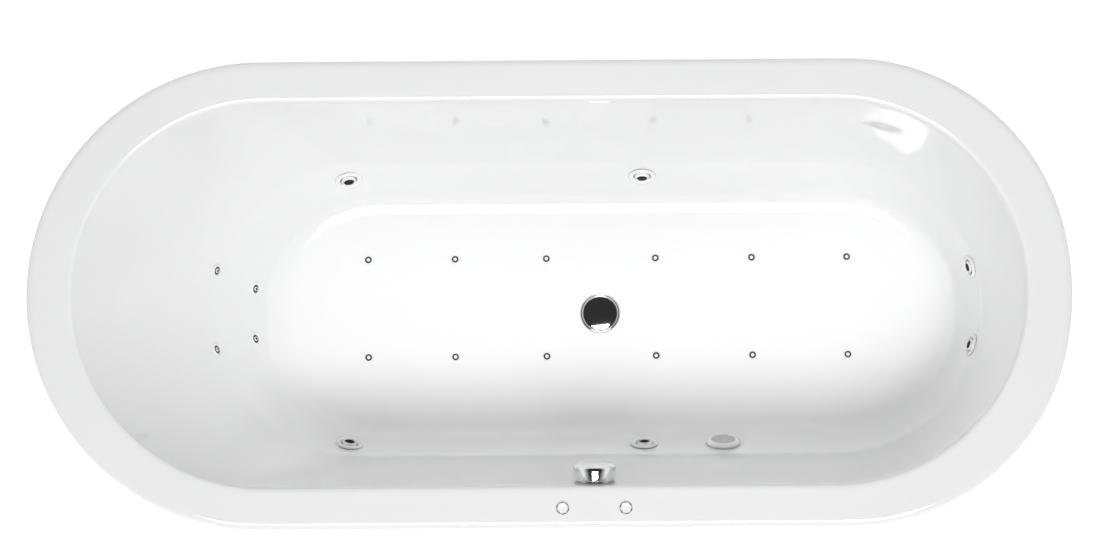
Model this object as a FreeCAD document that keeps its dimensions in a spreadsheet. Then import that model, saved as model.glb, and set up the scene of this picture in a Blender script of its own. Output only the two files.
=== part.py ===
import FreeCAD, Part
import math
import os
import Sketcher

# An oval acrylic jetted tub on a welded steel frame, with its jets, pump, blower and waste.
# Millimetres. X runs from the head end (-X) to the foot end (+X), Y across, Z up.
# The origin lies on the floor under the middle of the rim.

SIZES = {
    # rim
    "tub_length": 1780,
    "tub_width": 800,
    "rim_height": 600,
    "rim_skirt": 40,
    "rim_edge_radius": 8,
    "roll_steps": 3,
    "foot_tip_radius": 486,
    "foot_shoulder_radius": 377,
    # basin, one oval section at each level: width, and how far its tips reach from the middle
    "opening_width": 656,
    "opening_head": 811,
    "opening_foot": 812,
    "opening_edge_radius": 8,
    "flare_height": 290,
    "flare_width": 520,
    "flare_head": 592,
    "flare_foot": 762,
    "crease_height": 195,
    "crease_width": 437,
    "crease_head": 516,
    "crease_foot": 733,
    "floor_level": 175,
    "floor_inset": 108,
    # walls: acrylic sheet with its glass-fibre backing, and the gaps between pieces
    "skin": 8,
    "gap": 0.3,
    # base board, frame and feet
    "board_length": 1040,
    "board_width": 300,
    "board_middle": 110,
    "board_thickness": 18,
    "tube_side": 30,
    "tube_wall": 2,
    "rail_head": 790,
    "rail_foot": 640,
    "rail_offset": 140,
    "cradle_head": -450,
    "cradle_middle": -85,
    "cradle_foot": 450,
    "post_offset": 366,
    "foot_offset": 330,
    "shelf_length": 250,
    "shelf_width": 470,
    "shelf_middle": -665,
    "stud_radius": 6,
    "stud_length": 90,
    "foot_pad_radius": 24,
    "foot_pad_height": 14,
    "lock_nut_radius": 11,
    "lock_nut_height": 10,
    # wall jets
    "side_jet_radius": 24.5,
    "side_nozzle_radius": 12,
    "side_jet_height": 245,
    "side_jet_head_x": -357,
    "side_jet_foot_x": 167,
    "foot_jet_radius": 20.5,
    "foot_nozzle_radius": 10,
    "foot_jet_height": 275,
    "foot_jet_offset": 70,
    "gasket_thickness": 1.5,
    "jet_body_depth": 38,
    "jet_port_radius": 13,
    "jet_port_length": 20,
    "nozzle_turn": 12,
    "back_jet_radius": 12.5,
    "back_nozzle_radius": 6.5,
    "back_jet_low_height": 213,
    "back_jet_low_offset": 45,
    "back_jet_high_height": 298,
    "back_jet_high_offset": 70,
    # air jets in the floor
    "air_jet_radius": 8,
    "air_barrel_radius": 5,
    "air_nut_radius": 12,
    "air_row_half": 88,
    "air_row_shift": 11,
    # suction fitting
    "suction_radius": 31,
    "suction_bore": 22,
    "suction_x": 307,
    "suction_height": 243,
    "suction_slots": 5,
    # waste and overflow
    "drain_x": 91,
    "drain_radius": 36,
    "drain_bore": 26,
    "drain_wall": 3,
    "plug_radius": 32.5,
    "plug_stem_radius": 4,
    "trap_radius": 42,
    "trap_bottom": 40,
    "trap_top": 96,
    "waste_pipe_radius": 20,
    "waste_pipe_wall": 2.5,
    "waste_pipe_end": 380,
    "waste_height": 65.5,
    "overflow_x": 75,
    "overflow_drop": 56,
    "knob_radius": 36.5,
    "knob_depth": 30,
    "overflow_flange_radius": 33,
    "overflow_bore": 20,
    "overflow_pipe_radius": 14,
    # rim buttons
    "button_spacing": 107,
    "button_x": 73.5,
    "button_y": -366,
    "button_radius": 10.5,
    "bezel_radius": 12.5,
    "button_travel": 4,
    # machines and pipes
    "pump_x": -725,
    "pump_face_y": -205,
    "pump_height": 252,
    "wet_end_radius": 78,
    "wet_end_length": 84,
    "motor_radius": 64,
    "motor_length": 200,
    "fan_cover_length": 34,
    "blower_x": -645,
    "blower_y": 172,
    "blower_radius": 58,
    "blower_height": 120,
    "suction_pipe_radius": 20,
    "water_pipe_radius": 11,
    "header_height": 372,
    "air_pipe_radius": 10,
    "air_pipe_height": 129,
}
AIR_JET_STATIONS = [-325, -169, -5, 191, 364, 535]

V = FreeCAD.Vector
UP = V(0, 0, 1)
HALF_TURN = "half turn"
doc = FreeCAD.newDocument("JettedTub")
sheet = doc.addObject("Spreadsheet::Sheet", "Sizes")
for row, (alias, number) in enumerate(SIZES.items(), 1):
    sheet.set(f"A{row}", alias.replace("_", " "))
    sheet.set(f"B{row}", str(number))
    sheet.setAlias(f"B{row}", alias)
doc.recompute()

nodes = []


def value(expression):
    """The number an expression over the sheet gives."""
    return float(sheet.evalExpression(str(expression)))


def node(thing, label, placement=None):
    """Names a finished sub-part and keeps it for writing."""
    thing.Label = label
    if placement is not None:
        thing.Placement = placement
    nodes.append(thing)
    return thing


def bind(thing, **expressions):
    for name, expression in expressions.items():
        thing.setExpression(name, str(expression))
    return thing


# ---- drawing -------------------------------------------------------------------------------


def sketch_on(body, name, role, level=None):
    """An empty sketch on one of the body's own planes, raised to a level along its normal."""
    sketch = body.newObject("Sketcher::SketchObject", name)
    plane = next(f for f in body.Origin.OriginFeatures if f.Role == role)
    sketch.AttachmentSupport = [(plane, "")]
    sketch.MapMode = "FlatFace"
    if level is not None:
        bind(sketch, **{"AttachmentOffset.Base.z": level})
    return sketch


def nearer_end(sketch, piece, point):
    first = (sketch.getPoint(piece, 1) - point).Length
    second = (sketch.getPoint(piece, 2) - point).Length
    return 1 if first < second else 2


def draw(sketch, outline):
    """A closed outline of (x, y), or (x, y, radius, side) where an arc of under a half turn starts.

    Side is 1 for an arc that swells to the right of the way round, and -1 for one to the left.
    A half circle between two ends with the same x has HALF_TURN for its radius.
    """
    count = len(outline)
    corners = [V(value(p[0]), value(p[1]), 0) for p in outline]
    for i, point in enumerate(outline):
        start, end = corners[i], corners[(i + 1) % count]
        if len(point) == 2:
            sketch.addGeometry(Part.LineSegment(start, end), False)
            continue
        chord = end - start
        radius = chord.Length / 2 if point[2] == HALF_TURN else value(point[2])
        across = V(chord.y, -chord.x, 0).normalize() * point[3]
        rise = radius - math.sqrt(max(radius**2 - chord.Length**2 / 4, 0))
        sketch.addGeometry(Part.Arc(start, (start + end) * 0.5 + across * rise, end), False)
    for i in range(count):
        after = (i + 1) % count
        meet = corners[after]
        ends = (i, nearer_end(sketch, i, meet), after, nearer_end(sketch, after, meet))
        sketch.addConstraint(Sketcher.Constraint("Coincident", *ends))
    for i, point in enumerate(outline):
        end = nearer_end(sketch, i, corners[i])
        for kind, axis, size in (("DistanceX", -2, point[0]), ("DistanceY", -1, point[1])):
            if str(size) == "0":
                sketch.addConstraint(Sketcher.Constraint("PointOnObject", i, end, axis))
            else:
                hold(sketch, Sketcher.Constraint(kind, -1, 1, i, end, value(size)), size)
        if len(point) == 2:
            continue
        if point[2] == HALF_TURN:
            centre = Sketcher.Constraint("DistanceX", -1, 1, i, 3, value(point[0]))
            hold(sketch, centre, point[0])
        else:
            hold(sketch, Sketcher.Constraint("Radius", i, value(point[2])), point[2])
    return sketch


def hold(sketch, constraint, size):
    index = sketch.addConstraint(constraint)
    sketch.setExpression(f"Constraints[{index}]", str(size))


def oval(sketch, width, head, foot):
    """Two straight sides and two half circles: tips at -head and +foot."""
    half = f"({width}) / 2"
    head_middle = f"({width}) / 2 - ({head})"
    foot_middle = f"({foot}) - ({width}) / 2"
    outline = [
        (head_middle, f"-({half})"),
        (foot_middle, f"-({half})", HALF_TURN, 1),
        (foot_middle, half),
        (head_middle, half, HALF_TURN, 1),
    ]
    return draw(sketch, outline)


def turned(name, profile):
    """A body turned about Z from its half profile of (radius, height)."""
    body = doc.addObject("PartDesign::Body", name)
    sketch = draw(sketch_on(body, f"{name}_profile", "XZ_Plane"), profile)
    doc.recompute()
    turn = body.newObject("PartDesign::Revolution", f"{name}_turn")
    turn.Profile = sketch
    turn.ReferenceAxis = (sketch, ["V_Axis"])
    turn.Angle = 360
    return body


def padded(name, outline, level, height):
    """A body of one outline in the XY plane, from a level upwards."""
    body = doc.addObject("PartDesign::Body", name)
    sketch = draw(sketch_on(body, f"{name}_outline", "XY_Plane", level), outline)
    doc.recompute()
    pad = body.newObject("PartDesign::Pad", f"{name}_pad")
    pad.Profile = sketch
    bind(pad, Length=height)
    return body


def box(name, length, width, height, middle_x, middle_y, bottom):
    thing = doc.addObject("Part::Box", name)
    bind(thing, Length=length, Width=width, Height=height)
    corner = {
        ".Placement.Base.x": f"({middle_x}) - ({length}) / 2",
        ".Placement.Base.y": f"({middle_y}) - ({width}) / 2",
        ".Placement.Base.z": bottom,
    }
    return bind(thing, **corner)


def cylinder(name, radius, height, placement=FreeCAD.Placement()):
    thing = doc.addObject("Part::Cylinder", name)
    bind(thing, Radius=radius, Height=height)
    thing.Placement = placement
    return thing


def fused(name, pieces):
    thing = doc.addObject("Part::MultiFuse", name)
    thing.Shapes = pieces
    return thing


def cut(name, base, tool):
    thing = doc.addObject("Part::Cut", name)
    thing.Base = base
    thing.Tool = tool
    return thing


def common(name, base, tool):
    thing = doc.addObject("Part::Common", name)
    thing.Base = base
    thing.Tool = tool
    return thing


def copies(name, master, placements):
    """One group of separate solids, each a linked copy of the master at a placement of its own."""
    links = []
    for i, placement in enumerate(placements, 1):
        link = doc.addObject("App::Link", f"{name}_{i}")
        link.LinkedObject = master
        link.Placement = placement
        links.append(link)
    group = doc.addObject("Part::Compound", name)
    group.Links = links
    return group


def at(x, y, z, towards=UP):
    """A placement at a point, with its Z axis turned the shortest way to a direction."""
    return FreeCAD.Placement(V(x, y, z), FreeCAD.Rotation(UP, towards))


def route(points, bend):
    """Straight runs joined by tangent arcs of one radius, or smaller where a run is short."""
    edges = []
    last = points[0]
    for before, corner, after in zip(points, points[1:], points[2:]):
        back = (before - corner).normalize()
        on = (after - corner).normalize()
        half_angle = back.getAngle(on) / 2
        shorter = min(before.distanceToPoint(corner), after.distanceToPoint(corner))
        radius = min(bend, 0.45 * shorter * math.tan(half_angle))
        reach = radius / math.tan(half_angle)
        start = corner + back * reach
        end = corner + on * reach
        middle = (back + on).normalize()
        peak = corner + middle * (radius / math.sin(half_angle) - radius)
        edges.append(Part.LineSegment(last, start).toShape())
        edges.append(Part.Arc(start, peak, end).toShape())
        last = end
    edges.append(Part.LineSegment(last, points[-1]).toShape())
    return Part.Wire(edges)


def pipe(points, radius, bend):
    """A solid rod along a route."""
    path = route(points, bend)
    ring = Part.Wire(Part.makeCircle(radius, points[0], points[1] - points[0]))
    return path.makePipeShell([ring], True, False)


def pipework(name, solids):
    thing = doc.addObject("Part::Feature", name)
    thing.Shape = solids[0] if len(solids) == 1 else Part.makeCompound(solids)
    return thing


# ---- tub -----------------------------------------------------------------------------------


def rim_outline(inset):
    """The rim's outline drawn in by an inset: a half circle at the head, and at the foot a
    flatter tip arc between two shoulder arcs."""
    half = "Sizes.tub_width / 2"
    tip = "Sizes.tub_length / 2"
    apart = "(Sizes.foot_tip_radius - Sizes.foot_shoulder_radius)"
    lift = f"({half} - Sizes.foot_shoulder_radius)"
    along = f"sqrt({apart}^2 - {lift}^2)"
    tip_middle = f"({tip} - Sizes.foot_tip_radius)"
    tip_radius = f"(Sizes.foot_tip_radius - {inset})"
    shoulder = f"(Sizes.foot_shoulder_radius - {inset})"
    side = f"({half} - {inset})"
    head = f"(-({tip}) + {half})"
    straight_end = f"({tip_middle} + {along})"
    join_x = f"({tip_middle} + {along} * {tip_radius} / {apart})"
    join_y = f"({lift} * {tip_radius} / {apart})"
    return [
        (head, f"-{side}"),
        (straight_end, f"-{side}", shoulder, 1),
        (join_x, f"-{join_y}", tip_radius, 1),
        (join_x, join_y, shoulder, 1),
        (straight_end, side),
        (head, side, HALF_TURN, 1),
    ]


def roll(radius):
    """Steps of a rolled edge from the flat top down: how far in or out, and how far down."""
    count = int(value("Sizes.roll_steps"))
    turns = [90 * i / count for i in range(count + 1)]
    return [(f"{radius} * (1 - sin({t} deg))", f"{radius} * (1 - cos({t} deg))") for t in turns]


def basin_sections(body, name, out, rolled):
    """The basin's oval sections from the opening down to the floor, grown outwards by a skin."""
    grow = f"({out})"
    opening = ("Sizes.opening_width", "Sizes.opening_head", "Sizes.opening_foot")
    above = "Sizes.opening_edge_radius"
    share = f"{above} / (Sizes.rim_height - {above} - Sizes.flare_height)"
    top = [f"({size} + ({size} - {size.replace('opening', 'flare')}) * {share})" for size in opening]
    flare = ("Sizes.flare_width", "Sizes.flare_head", "Sizes.flare_foot")
    crease = ("Sizes.crease_width", "Sizes.crease_head", "Sizes.crease_foot")
    floor = (
        "(Sizes.crease_width - 2 * Sizes.floor_inset)",
        "(Sizes.crease_head - Sizes.floor_inset)",
        "(Sizes.crease_foot - Sizes.floor_inset)",
    )
    levels = [("Sizes.rim_height", top, grow)]
    if rolled:
        levels = [(f"Sizes.rim_height - {down}", opening, f"({out} + {back})")
                  for back, down in roll("Sizes.opening_edge_radius")]
    levels.append(("Sizes.flare_height", flare, grow))
    levels.append(("Sizes.crease_height", crease, grow))
    levels.append((f"Sizes.floor_level - {grow}", floor, grow))
    sections = []
    for i, (height, (width, head, foot), more) in enumerate(levels):
        sketch = sketch_on(body, f"{name}_{i}", "XY_Plane", height)
        sections.append(oval(sketch, f"{width} + 2 * {more}", f"{head} + {more}", f"{foot} + {more}"))
    return sections


def loft(body, kind, name, sections):
    doc.recompute()
    feature = body.newObject(f"PartDesign::{kind}Loft", name)
    feature.Profile = sections[0]
    feature.Sections = sections[1:]
    feature.Ruled = True
    doc.recompute()
    return feature


def tub_blank():
    """The acrylic tub before its holes: a rim turned down at its edge, and the basin."""
    body = doc.addObject("PartDesign::Body", "tub_blank")
    bottom = "Sizes.rim_height - Sizes.rim_skirt"
    sections = [draw(sketch_on(body, "rim_bottom", "XY_Plane", bottom), rim_outline("0"))]
    for i, (inset, down) in enumerate(reversed(roll("Sizes.rim_edge_radius"))):
        height = f"Sizes.rim_height - {down}"
        sketch = sketch_on(body, f"rim_roll_{i}", "XY_Plane", height)
        sections.append(draw(sketch, rim_outline(f"({inset})")))
    loft(body, "Additive", "rim", sections)
    under = draw(sketch_on(body, "rim_under", "XY_Plane", bottom), rim_outline("Sizes.skin"))
    doc.recompute()
    hollow = body.newObject("PartDesign::Pocket", "rim_hollow")
    hollow.Profile = under
    hollow.Reversed = True
    bind(hollow, Length="Sizes.rim_skirt - Sizes.skin")
    doc.recompute()
    loft(body, "Additive", "basin", basin_sections(body, "basin", "Sizes.skin", False))
    loft(body, "Subtractive", "basin_room", basin_sections(body, "room", "0", True))
    return body


def clear_room():
    """The basin's room drawn in a little, so that what lies on the wall clears its curve."""
    body = doc.addObject("PartDesign::Body", "clear_room")
    loft(body, "Additive", "clear_room_loft", basin_sections(body, "clear", "-0.5", False))
    return body


def section_at(height):
    """Head reach, foot reach and half width of the basin's inner oval at a height."""
    levels = [
        [value(f"Sizes.{name}_{size}") for size in ("height", "head", "foot", "width")]
        for name in ("crease", "flare")
    ]
    top = [value(f"Sizes.opening_{size}") for size in ("head", "foot", "width")]
    levels.append([value("Sizes.rim_height - Sizes.opening_edge_radius"), *top])
    low, high = levels[:2] if height <= levels[1][0] else levels[1:]
    share = (height - low[0]) / (high[0] - low[0])
    head, foot, width = (a + (b - a) * share for a, b in zip(low[1:], high[1:]))
    return head, foot, width / 2


def wall_frame(side, along, height):
    """A placement on the basin's inner wall, its Z axis square to the wall and into the room.

    Side is "back" (+Y) or "front" (-Y), where along is an X, or "head" or "foot", where it is a Y.
    """
    head, foot, half = section_at(height)
    head_up, foot_up, half_up = section_at(height + 1)
    widening = half_up - half
    if side in ("back", "front"):
        sign = 1 if side == "back" else -1
        ends = (half - head, foot - half)
        middle = min(max(along, ends[0]), ends[1])
        drift = half_up - head_up - ends[0] if middle == ends[0] else foot_up - half_up - ends[1]
        off = along - middle
        out = math.sqrt(half**2 - off**2)
        drift = 0 if off == 0 else drift
        inward = V(-off, -sign * out, off * drift + half * widening)
        return at(along, sign * out, height, inward)
    sign = 1 if side == "foot" else -1
    middle = (foot if side == "foot" else head) - half
    drift = (foot_up if side == "foot" else head_up) - half_up - middle
    out = math.sqrt(half**2 - along**2)
    inward = V(-sign * out, -along, out * drift + half * widening)
    return at(sign * (middle + out), along, height, inward)


def holes(name, radius, frames, depth="60"):
    """Straight drills through the wall, one at each frame, running along its Z axis."""
    drills = []
    for i, frame in enumerate(frames, 1):
        start = frame.multiply(at(0, 0, -value(depth) / 2))
        drills.append(cylinder(f"{name}_{i}", radius, depth, start))
    return drills


SIDE_JETS = [
    wall_frame(side, value(f"Sizes.side_jet_{end}_x"), value("Sizes.side_jet_height"))
    for side in ("back", "front")
    for end in ("head", "foot")
]
FOOT_JETS = [
    wall_frame("foot", sign * value("Sizes.foot_jet_offset"), value("Sizes.foot_jet_height"))
    for sign in (1, -1)
]
BACK_JETS = [
    wall_frame("head", sign * value(f"Sizes.back_jet_{row}_offset"),
               value(f"Sizes.back_jet_{row}_height"))
    for row in ("high", "low")
    for sign in (1, -1)
]
FLOOR = value("Sizes.floor_level")
AIR_JETS = [
    at(x, value("Sizes.air_row_shift") + sign * value("Sizes.air_row_half"), FLOOR)
    for sign in (1, -1)
    for x in AIR_JET_STATIONS
]
SUCTION = wall_frame("front", value("Sizes.suction_x"), value("Sizes.suction_height"))
OVERFLOW = wall_frame("front", value("Sizes.overflow_x"),
                      value("Sizes.rim_height - Sizes.overflow_drop"))
DRAIN = at(value("Sizes.drain_x"), 0, FLOOR)
BUTTONS = [
    at(value("Sizes.button_x") + sign * value("Sizes.button_spacing") / 2,
       value("Sizes.button_y"), value("Sizes.rim_height"))
    for sign in (-1, 1)
]
SIDE_SEAT = "(Sizes.side_nozzle_radius + 2.5)"
FOOT_SEAT = "(Sizes.foot_nozzle_radius + 2.5)"
BACK_SEAT = "(Sizes.back_nozzle_radius + 0.5)"
JET_WALL = "3"


def tub_shell():
    drills = holes("side_jet_hole", f"{SIDE_SEAT} + {JET_WALL} + Sizes.gap", SIDE_JETS)
    drills += holes("foot_jet_hole", f"{FOOT_SEAT} + {JET_WALL} + Sizes.gap", FOOT_JETS)
    drills += holes("back_jet_hole", f"{BACK_SEAT} + 2 + Sizes.gap", BACK_JETS)
    drills += holes("air_jet_hole", "Sizes.air_barrel_radius + Sizes.gap", AIR_JETS)
    drills += holes("suction_hole", "Sizes.suction_bore + 3 + Sizes.gap", [SUCTION])
    drills += holes("overflow_hole", "Sizes.overflow_bore + 3 + Sizes.gap", [OVERFLOW])
    drills += holes("drain_hole", "Sizes.drain_bore + Sizes.drain_wall + Sizes.gap", [DRAIN])
    drills += holes("button_hole", "Sizes.button_radius + 1 + Sizes.gap", BUTTONS)
    return cut("tub_drilled", tub_blank(), fused("wall_holes", drills))


# ---- base board, frame and feet ------------------------------------------------------------

BOARD_TOP = "(Sizes.floor_level - Sizes.skin - Sizes.gap)"
RAIL_TOP = f"({BOARD_TOP} - Sizes.board_thickness - Sizes.gap)"
CRADLES = ("head", "middle", "foot")


def base_board():
    """A board bonded under the floor, with room for the drain and the air jets' nuts."""
    board = box("board_blank", "Sizes.board_length", "Sizes.board_width",
                "Sizes.board_thickness", "Sizes.board_middle", "0",
                f"{BOARD_TOP} - Sizes.board_thickness")
    rooms = holes("drain_room", "Sizes.trap_radius + 4", [DRAIN])
    rooms += holes("air_jet_room", "Sizes.air_nut_radius + 3", AIR_JETS)
    return cut("board_drilled", board, fused("board_holes", rooms))


def tube(name, length, width, height, middle_x, middle_y, bottom, along):
    """A square tube with open ends along one axis."""
    outside = (length, width, height)
    inside = [size if axis == along else f"{size} - 2 * Sizes.tube_wall"
              for axis, size in zip("xyz", outside)]
    lift = "0" if along == "z" else "Sizes.tube_wall"
    bore = box(f"{name}_bore", *inside, middle_x, middle_y, f"{bottom} + {lift}")
    return cut(name, box(f"{name}_wall", *outside, middle_x, middle_y, bottom), bore)


def support_frame():
    """Two rails under the board, and three cradles whose posts reach up to the rim."""
    side = "Sizes.tube_side"
    rail_bottom = f"{RAIL_TOP} - {side}"
    beam_bottom = f"{rail_bottom} - {side}"
    length = "(Sizes.rail_head + Sizes.rail_foot)"
    middle = "(Sizes.rail_foot - Sizes.rail_head) / 2"
    pieces = [
        tube(f"rail_{i}", length, side, side, middle, f"{sign} * Sizes.rail_offset",
             rail_bottom, "x")
        for i, sign in enumerate((1, -1))
    ]
    post_height = f"Sizes.rim_height - Sizes.skin - Sizes.gap - ({beam_bottom})"
    for cradle in CRADLES:
        x = f"Sizes.cradle_{cradle}"
        span = f"2 * Sizes.post_offset - {side}"
        pieces.append(tube(f"beam_{cradle}", side, span, side, x, "0", beam_bottom, "y"))
        for i, sign in enumerate((1, -1)):
            pieces.append(tube(f"post_{cradle}_{i}", side, side, post_height, x,
                               f"{sign} * Sizes.post_offset", beam_bottom, "z"))
            pieces.append(box(f"end_plate_{cradle}_{i}", side, side, "Sizes.tube_wall * 2", x,
                              f"{sign} * Sizes.post_offset", beam_bottom))
    studs = [cylinder(f"stud_room_{i}", "Sizes.stud_radius + Sizes.gap", "400", place)
             for i, place in enumerate(FEET, 1)]
    return cut("frame_tapped", fused("frame_welded", pieces), fused("stud_rooms", studs))


FEET = [
    at(value(f"Sizes.cradle_{cradle}"), sign * value("Sizes.foot_offset"), 0)
    for cradle in CRADLES
    for sign in (1, -1)
]


def feet():
    pad = turned("foot_pad_master", [
        ("0", "0"),
        ("Sizes.foot_pad_radius", "0"),
        ("Sizes.foot_pad_radius", "4"),
        ("Sizes.stud_radius + 6", "Sizes.foot_pad_height"),
        ("0", "Sizes.foot_pad_height"),
    ])
    stud = turned("foot_stud_master", [
        ("0", "Sizes.foot_pad_height"),
        ("Sizes.stud_radius", "Sizes.foot_pad_height"),
        ("Sizes.stud_radius", "Sizes.foot_pad_height + Sizes.stud_length"),
        ("0", "Sizes.foot_pad_height + Sizes.stud_length"),
    ])
    under_frame = f"({RAIL_TOP} - 2 * Sizes.tube_side)"
    nut = turned("lock_nut_master", [
        ("Sizes.stud_radius", f"{under_frame} - Sizes.lock_nut_height"),
        ("Sizes.lock_nut_radius", f"{under_frame} - Sizes.lock_nut_height"),
        ("Sizes.lock_nut_radius", under_frame),
        ("Sizes.stud_radius", under_frame),
    ])
    node(copies("pads", pad, FEET), "foot_pads")
    node(copies("studs", stud, FEET), "foot_studs")
    node(copies("nuts", nut, FEET), "foot_lock_nuts")


# ---- wall jets -----------------------------------------------------------------------------


def jet_set(name, frames, radius, nozzle_radius, seat):
    """Flanges, gaskets and bodies of one size of wall jet. Z = 0 is the basin's wall."""
    base = "Sizes.gasket_thickness"
    outside = f"({seat} + {JET_WALL})"
    back = "(-Sizes.skin - 12)"
    flange = turned(f"{name}_flange_master", [
        (seat, back),
        (outside, back),
        (outside, base),
        (radius, base),
        (f"{radius} - 0.8", f"{base} + 2.2"),
        (f"{radius} - 4", f"{base} + 4"),
        (f"{seat} + 1.5", f"{base} + 3.2"),
        (seat, base),
    ])
    gasket = turned(f"{name}_gasket_master", [
        (f"{outside} + 0.5", "-1"),
        (f"{radius} - 0.8", "-1"),
        (f"{radius} - 0.8", base),
        (f"{outside} + 0.5", base),
    ])
    top = "(-Sizes.skin - 1.2)"
    room = f"({outside} + Sizes.gap)"
    wall = f"({room} + 3)"
    deep = f"({back} - Sizes.jet_body_depth)"
    body = turned(f"{name}_body_core", [
        ("0", deep),
        (wall, deep),
        (wall, f"{top} - 6"),
        (f"{wall} + 5", f"{top} - 6"),
        (f"{wall} + 5", top),
        (room, top),
        (room, f"{back} - 1"),
        ("0", f"{back} - 1"),
    ])
    axis = V(0, 1, 0) if name == "foot_jet" else V(1, 0, 0)
    reach = value(f"{wall} + Sizes.jet_port_length")
    level = (value(deep) + value(back)) / 2
    start = V(0, 0, level) - axis * reach
    port = cylinder(f"{name}_ports", "Sizes.jet_port_radius",
                    f"2 * ({wall} + Sizes.jet_port_length)", at(start.x, start.y, start.z, axis))
    whole = fused(f"{name}_body_master", [body, port])
    return (copies(f"{name}_flange_set", flange, frames),
            copies(f"{name}_gasket_set", gasket, frames),
            copies(f"{name}_body_set", whole, frames))


def nozzle(name, frame, radius, seat):
    """An eyeball nozzle: a ball held in the flange, with a lipped outlet that shows."""
    middle = "Sizes.gasket_thickness - 4"
    ball = f"({seat} - Sizes.gap)"
    outlet = f"({radius} * 0.6)"
    thing = turned(f"{name}_body", [
        (outlet, f"{middle} - {ball} * 0.7"),
        (f"{ball} * 0.7", f"{middle} - {ball} * 0.7"),
        (f"{ball} * 0.96", f"{middle} - {ball} * 0.26"),
        (f"{ball} * 0.96", f"{middle} + {ball} * 0.26"),
        (f"{radius} * 0.86", f"{middle} + {ball} * 0.5"),
        (f"{radius} * 0.86", f"{middle} + 9"),
        (outlet, f"{middle} + 8"),
    ])
    return node(thing, name, frame)


def jets():
    side = jet_set("side_jet", SIDE_JETS, "Sizes.side_jet_radius", "Sizes.side_nozzle_radius",
                   SIDE_SEAT)
    foot = jet_set("foot_jet", FOOT_JETS, "Sizes.foot_jet_radius", "Sizes.foot_nozzle_radius",
                   FOOT_SEAT)
    node(side[0], "side_jet_flanges")
    node(foot[0], "foot_jet_flanges")
    room = clear_room()
    node(common("side_jet_seals", side[1], room), "side_jet_gaskets")
    node(common("foot_jet_seals", foot[1], room), "foot_jet_gaskets")
    node(side[2], "side_jet_bodies")
    node(foot[2], "foot_jet_bodies")
    names = ("back_head", "back_foot", "front_head", "front_foot")
    for name, frame in zip(names, SIDE_JETS):
        nozzle(f"jet_nozzle_{name}", frame, "Sizes.side_nozzle_radius", SIDE_SEAT)
    for name, frame in zip(("foot_left", "foot_right"), FOOT_JETS):
        nozzle(f"jet_nozzle_{name}", frame, "Sizes.foot_nozzle_radius", FOOT_SEAT)
    flange = turned("back_jet_flange_master", [
        (BACK_SEAT, "-22"),
        (f"{BACK_SEAT} + 2", "-22"),
        (f"{BACK_SEAT} + 2", "1"),
        ("Sizes.back_jet_radius", "1"),
        ("Sizes.back_jet_radius - 0.6", "2.4"),
        ("Sizes.back_jet_radius - 2.5", "3.4"),
        (BACK_SEAT, "2"),
    ])
    insert = turned("back_jet_insert_master", [
        ("2.2", "-8"),
        ("Sizes.back_nozzle_radius", "-8"),
        ("Sizes.back_nozzle_radius", "2.5"),
        ("Sizes.back_nozzle_radius - 1.5", "4"),
        ("2.2", "3"),
    ])
    nut = turned("back_jet_body_master", [
        ("0", "-40"),
        (f"{BACK_SEAT} + 5", "-40"),
        (f"{BACK_SEAT} + 5", "-17"),
        (f"{BACK_SEAT} + 8", "-17"),
        (f"{BACK_SEAT} + 8", "-10"),
        (f"{BACK_SEAT} + 2 + Sizes.gap", "-10"),
        (f"{BACK_SEAT} + 2 + Sizes.gap", "-23"),
        ("0", "-23"),
    ])
    node(copies("back_flanges", flange, BACK_JETS), "back_jet_flanges")
    node(copies("back_inserts", insert, BACK_JETS), "back_jet_nozzles")
    barb = cylinder("back_jet_barb", "4", "22", at(0, 0, -31, V(-1, 0, 0)))
    whole = fused("back_jet_body_ported", [nut, barb])
    node(copies("back_bodies", whole, BACK_JETS), "back_jet_bodies")


# ---- air jets in the floor -----------------------------------------------------------------


def air_jets():
    cap = turned("air_cap_master", [
        ("0", "0.5"),
        ("Sizes.air_jet_radius", "0.5"),
        ("Sizes.air_jet_radius", "1.6"),
        ("Sizes.air_jet_radius - 2.6", "3.4"),
        ("Sizes.air_jet_radius - 5.4", "3"),
        ("0", "3.8"),
    ])
    under = "(-Sizes.skin - Sizes.gap)"
    barrel = turned("air_barrel_master", [
        ("1.5", "-36"),
        ("Sizes.air_barrel_radius", "-36"),
        ("Sizes.air_barrel_radius", f"{under} - 8"),
        ("Sizes.air_nut_radius", f"{under} - 8"),
        ("Sizes.air_nut_radius", under),
        ("Sizes.air_barrel_radius", under),
        ("Sizes.air_barrel_radius", "0.2"),
        ("1.5", "0.2"),
    ])
    node(copies("air_caps", cap, AIR_JETS), "air_jet_caps")
    node(copies("air_barrels", barrel, AIR_JETS), "air_jet_bodies")


# ---- suction fitting -----------------------------------------------------------------------


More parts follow.
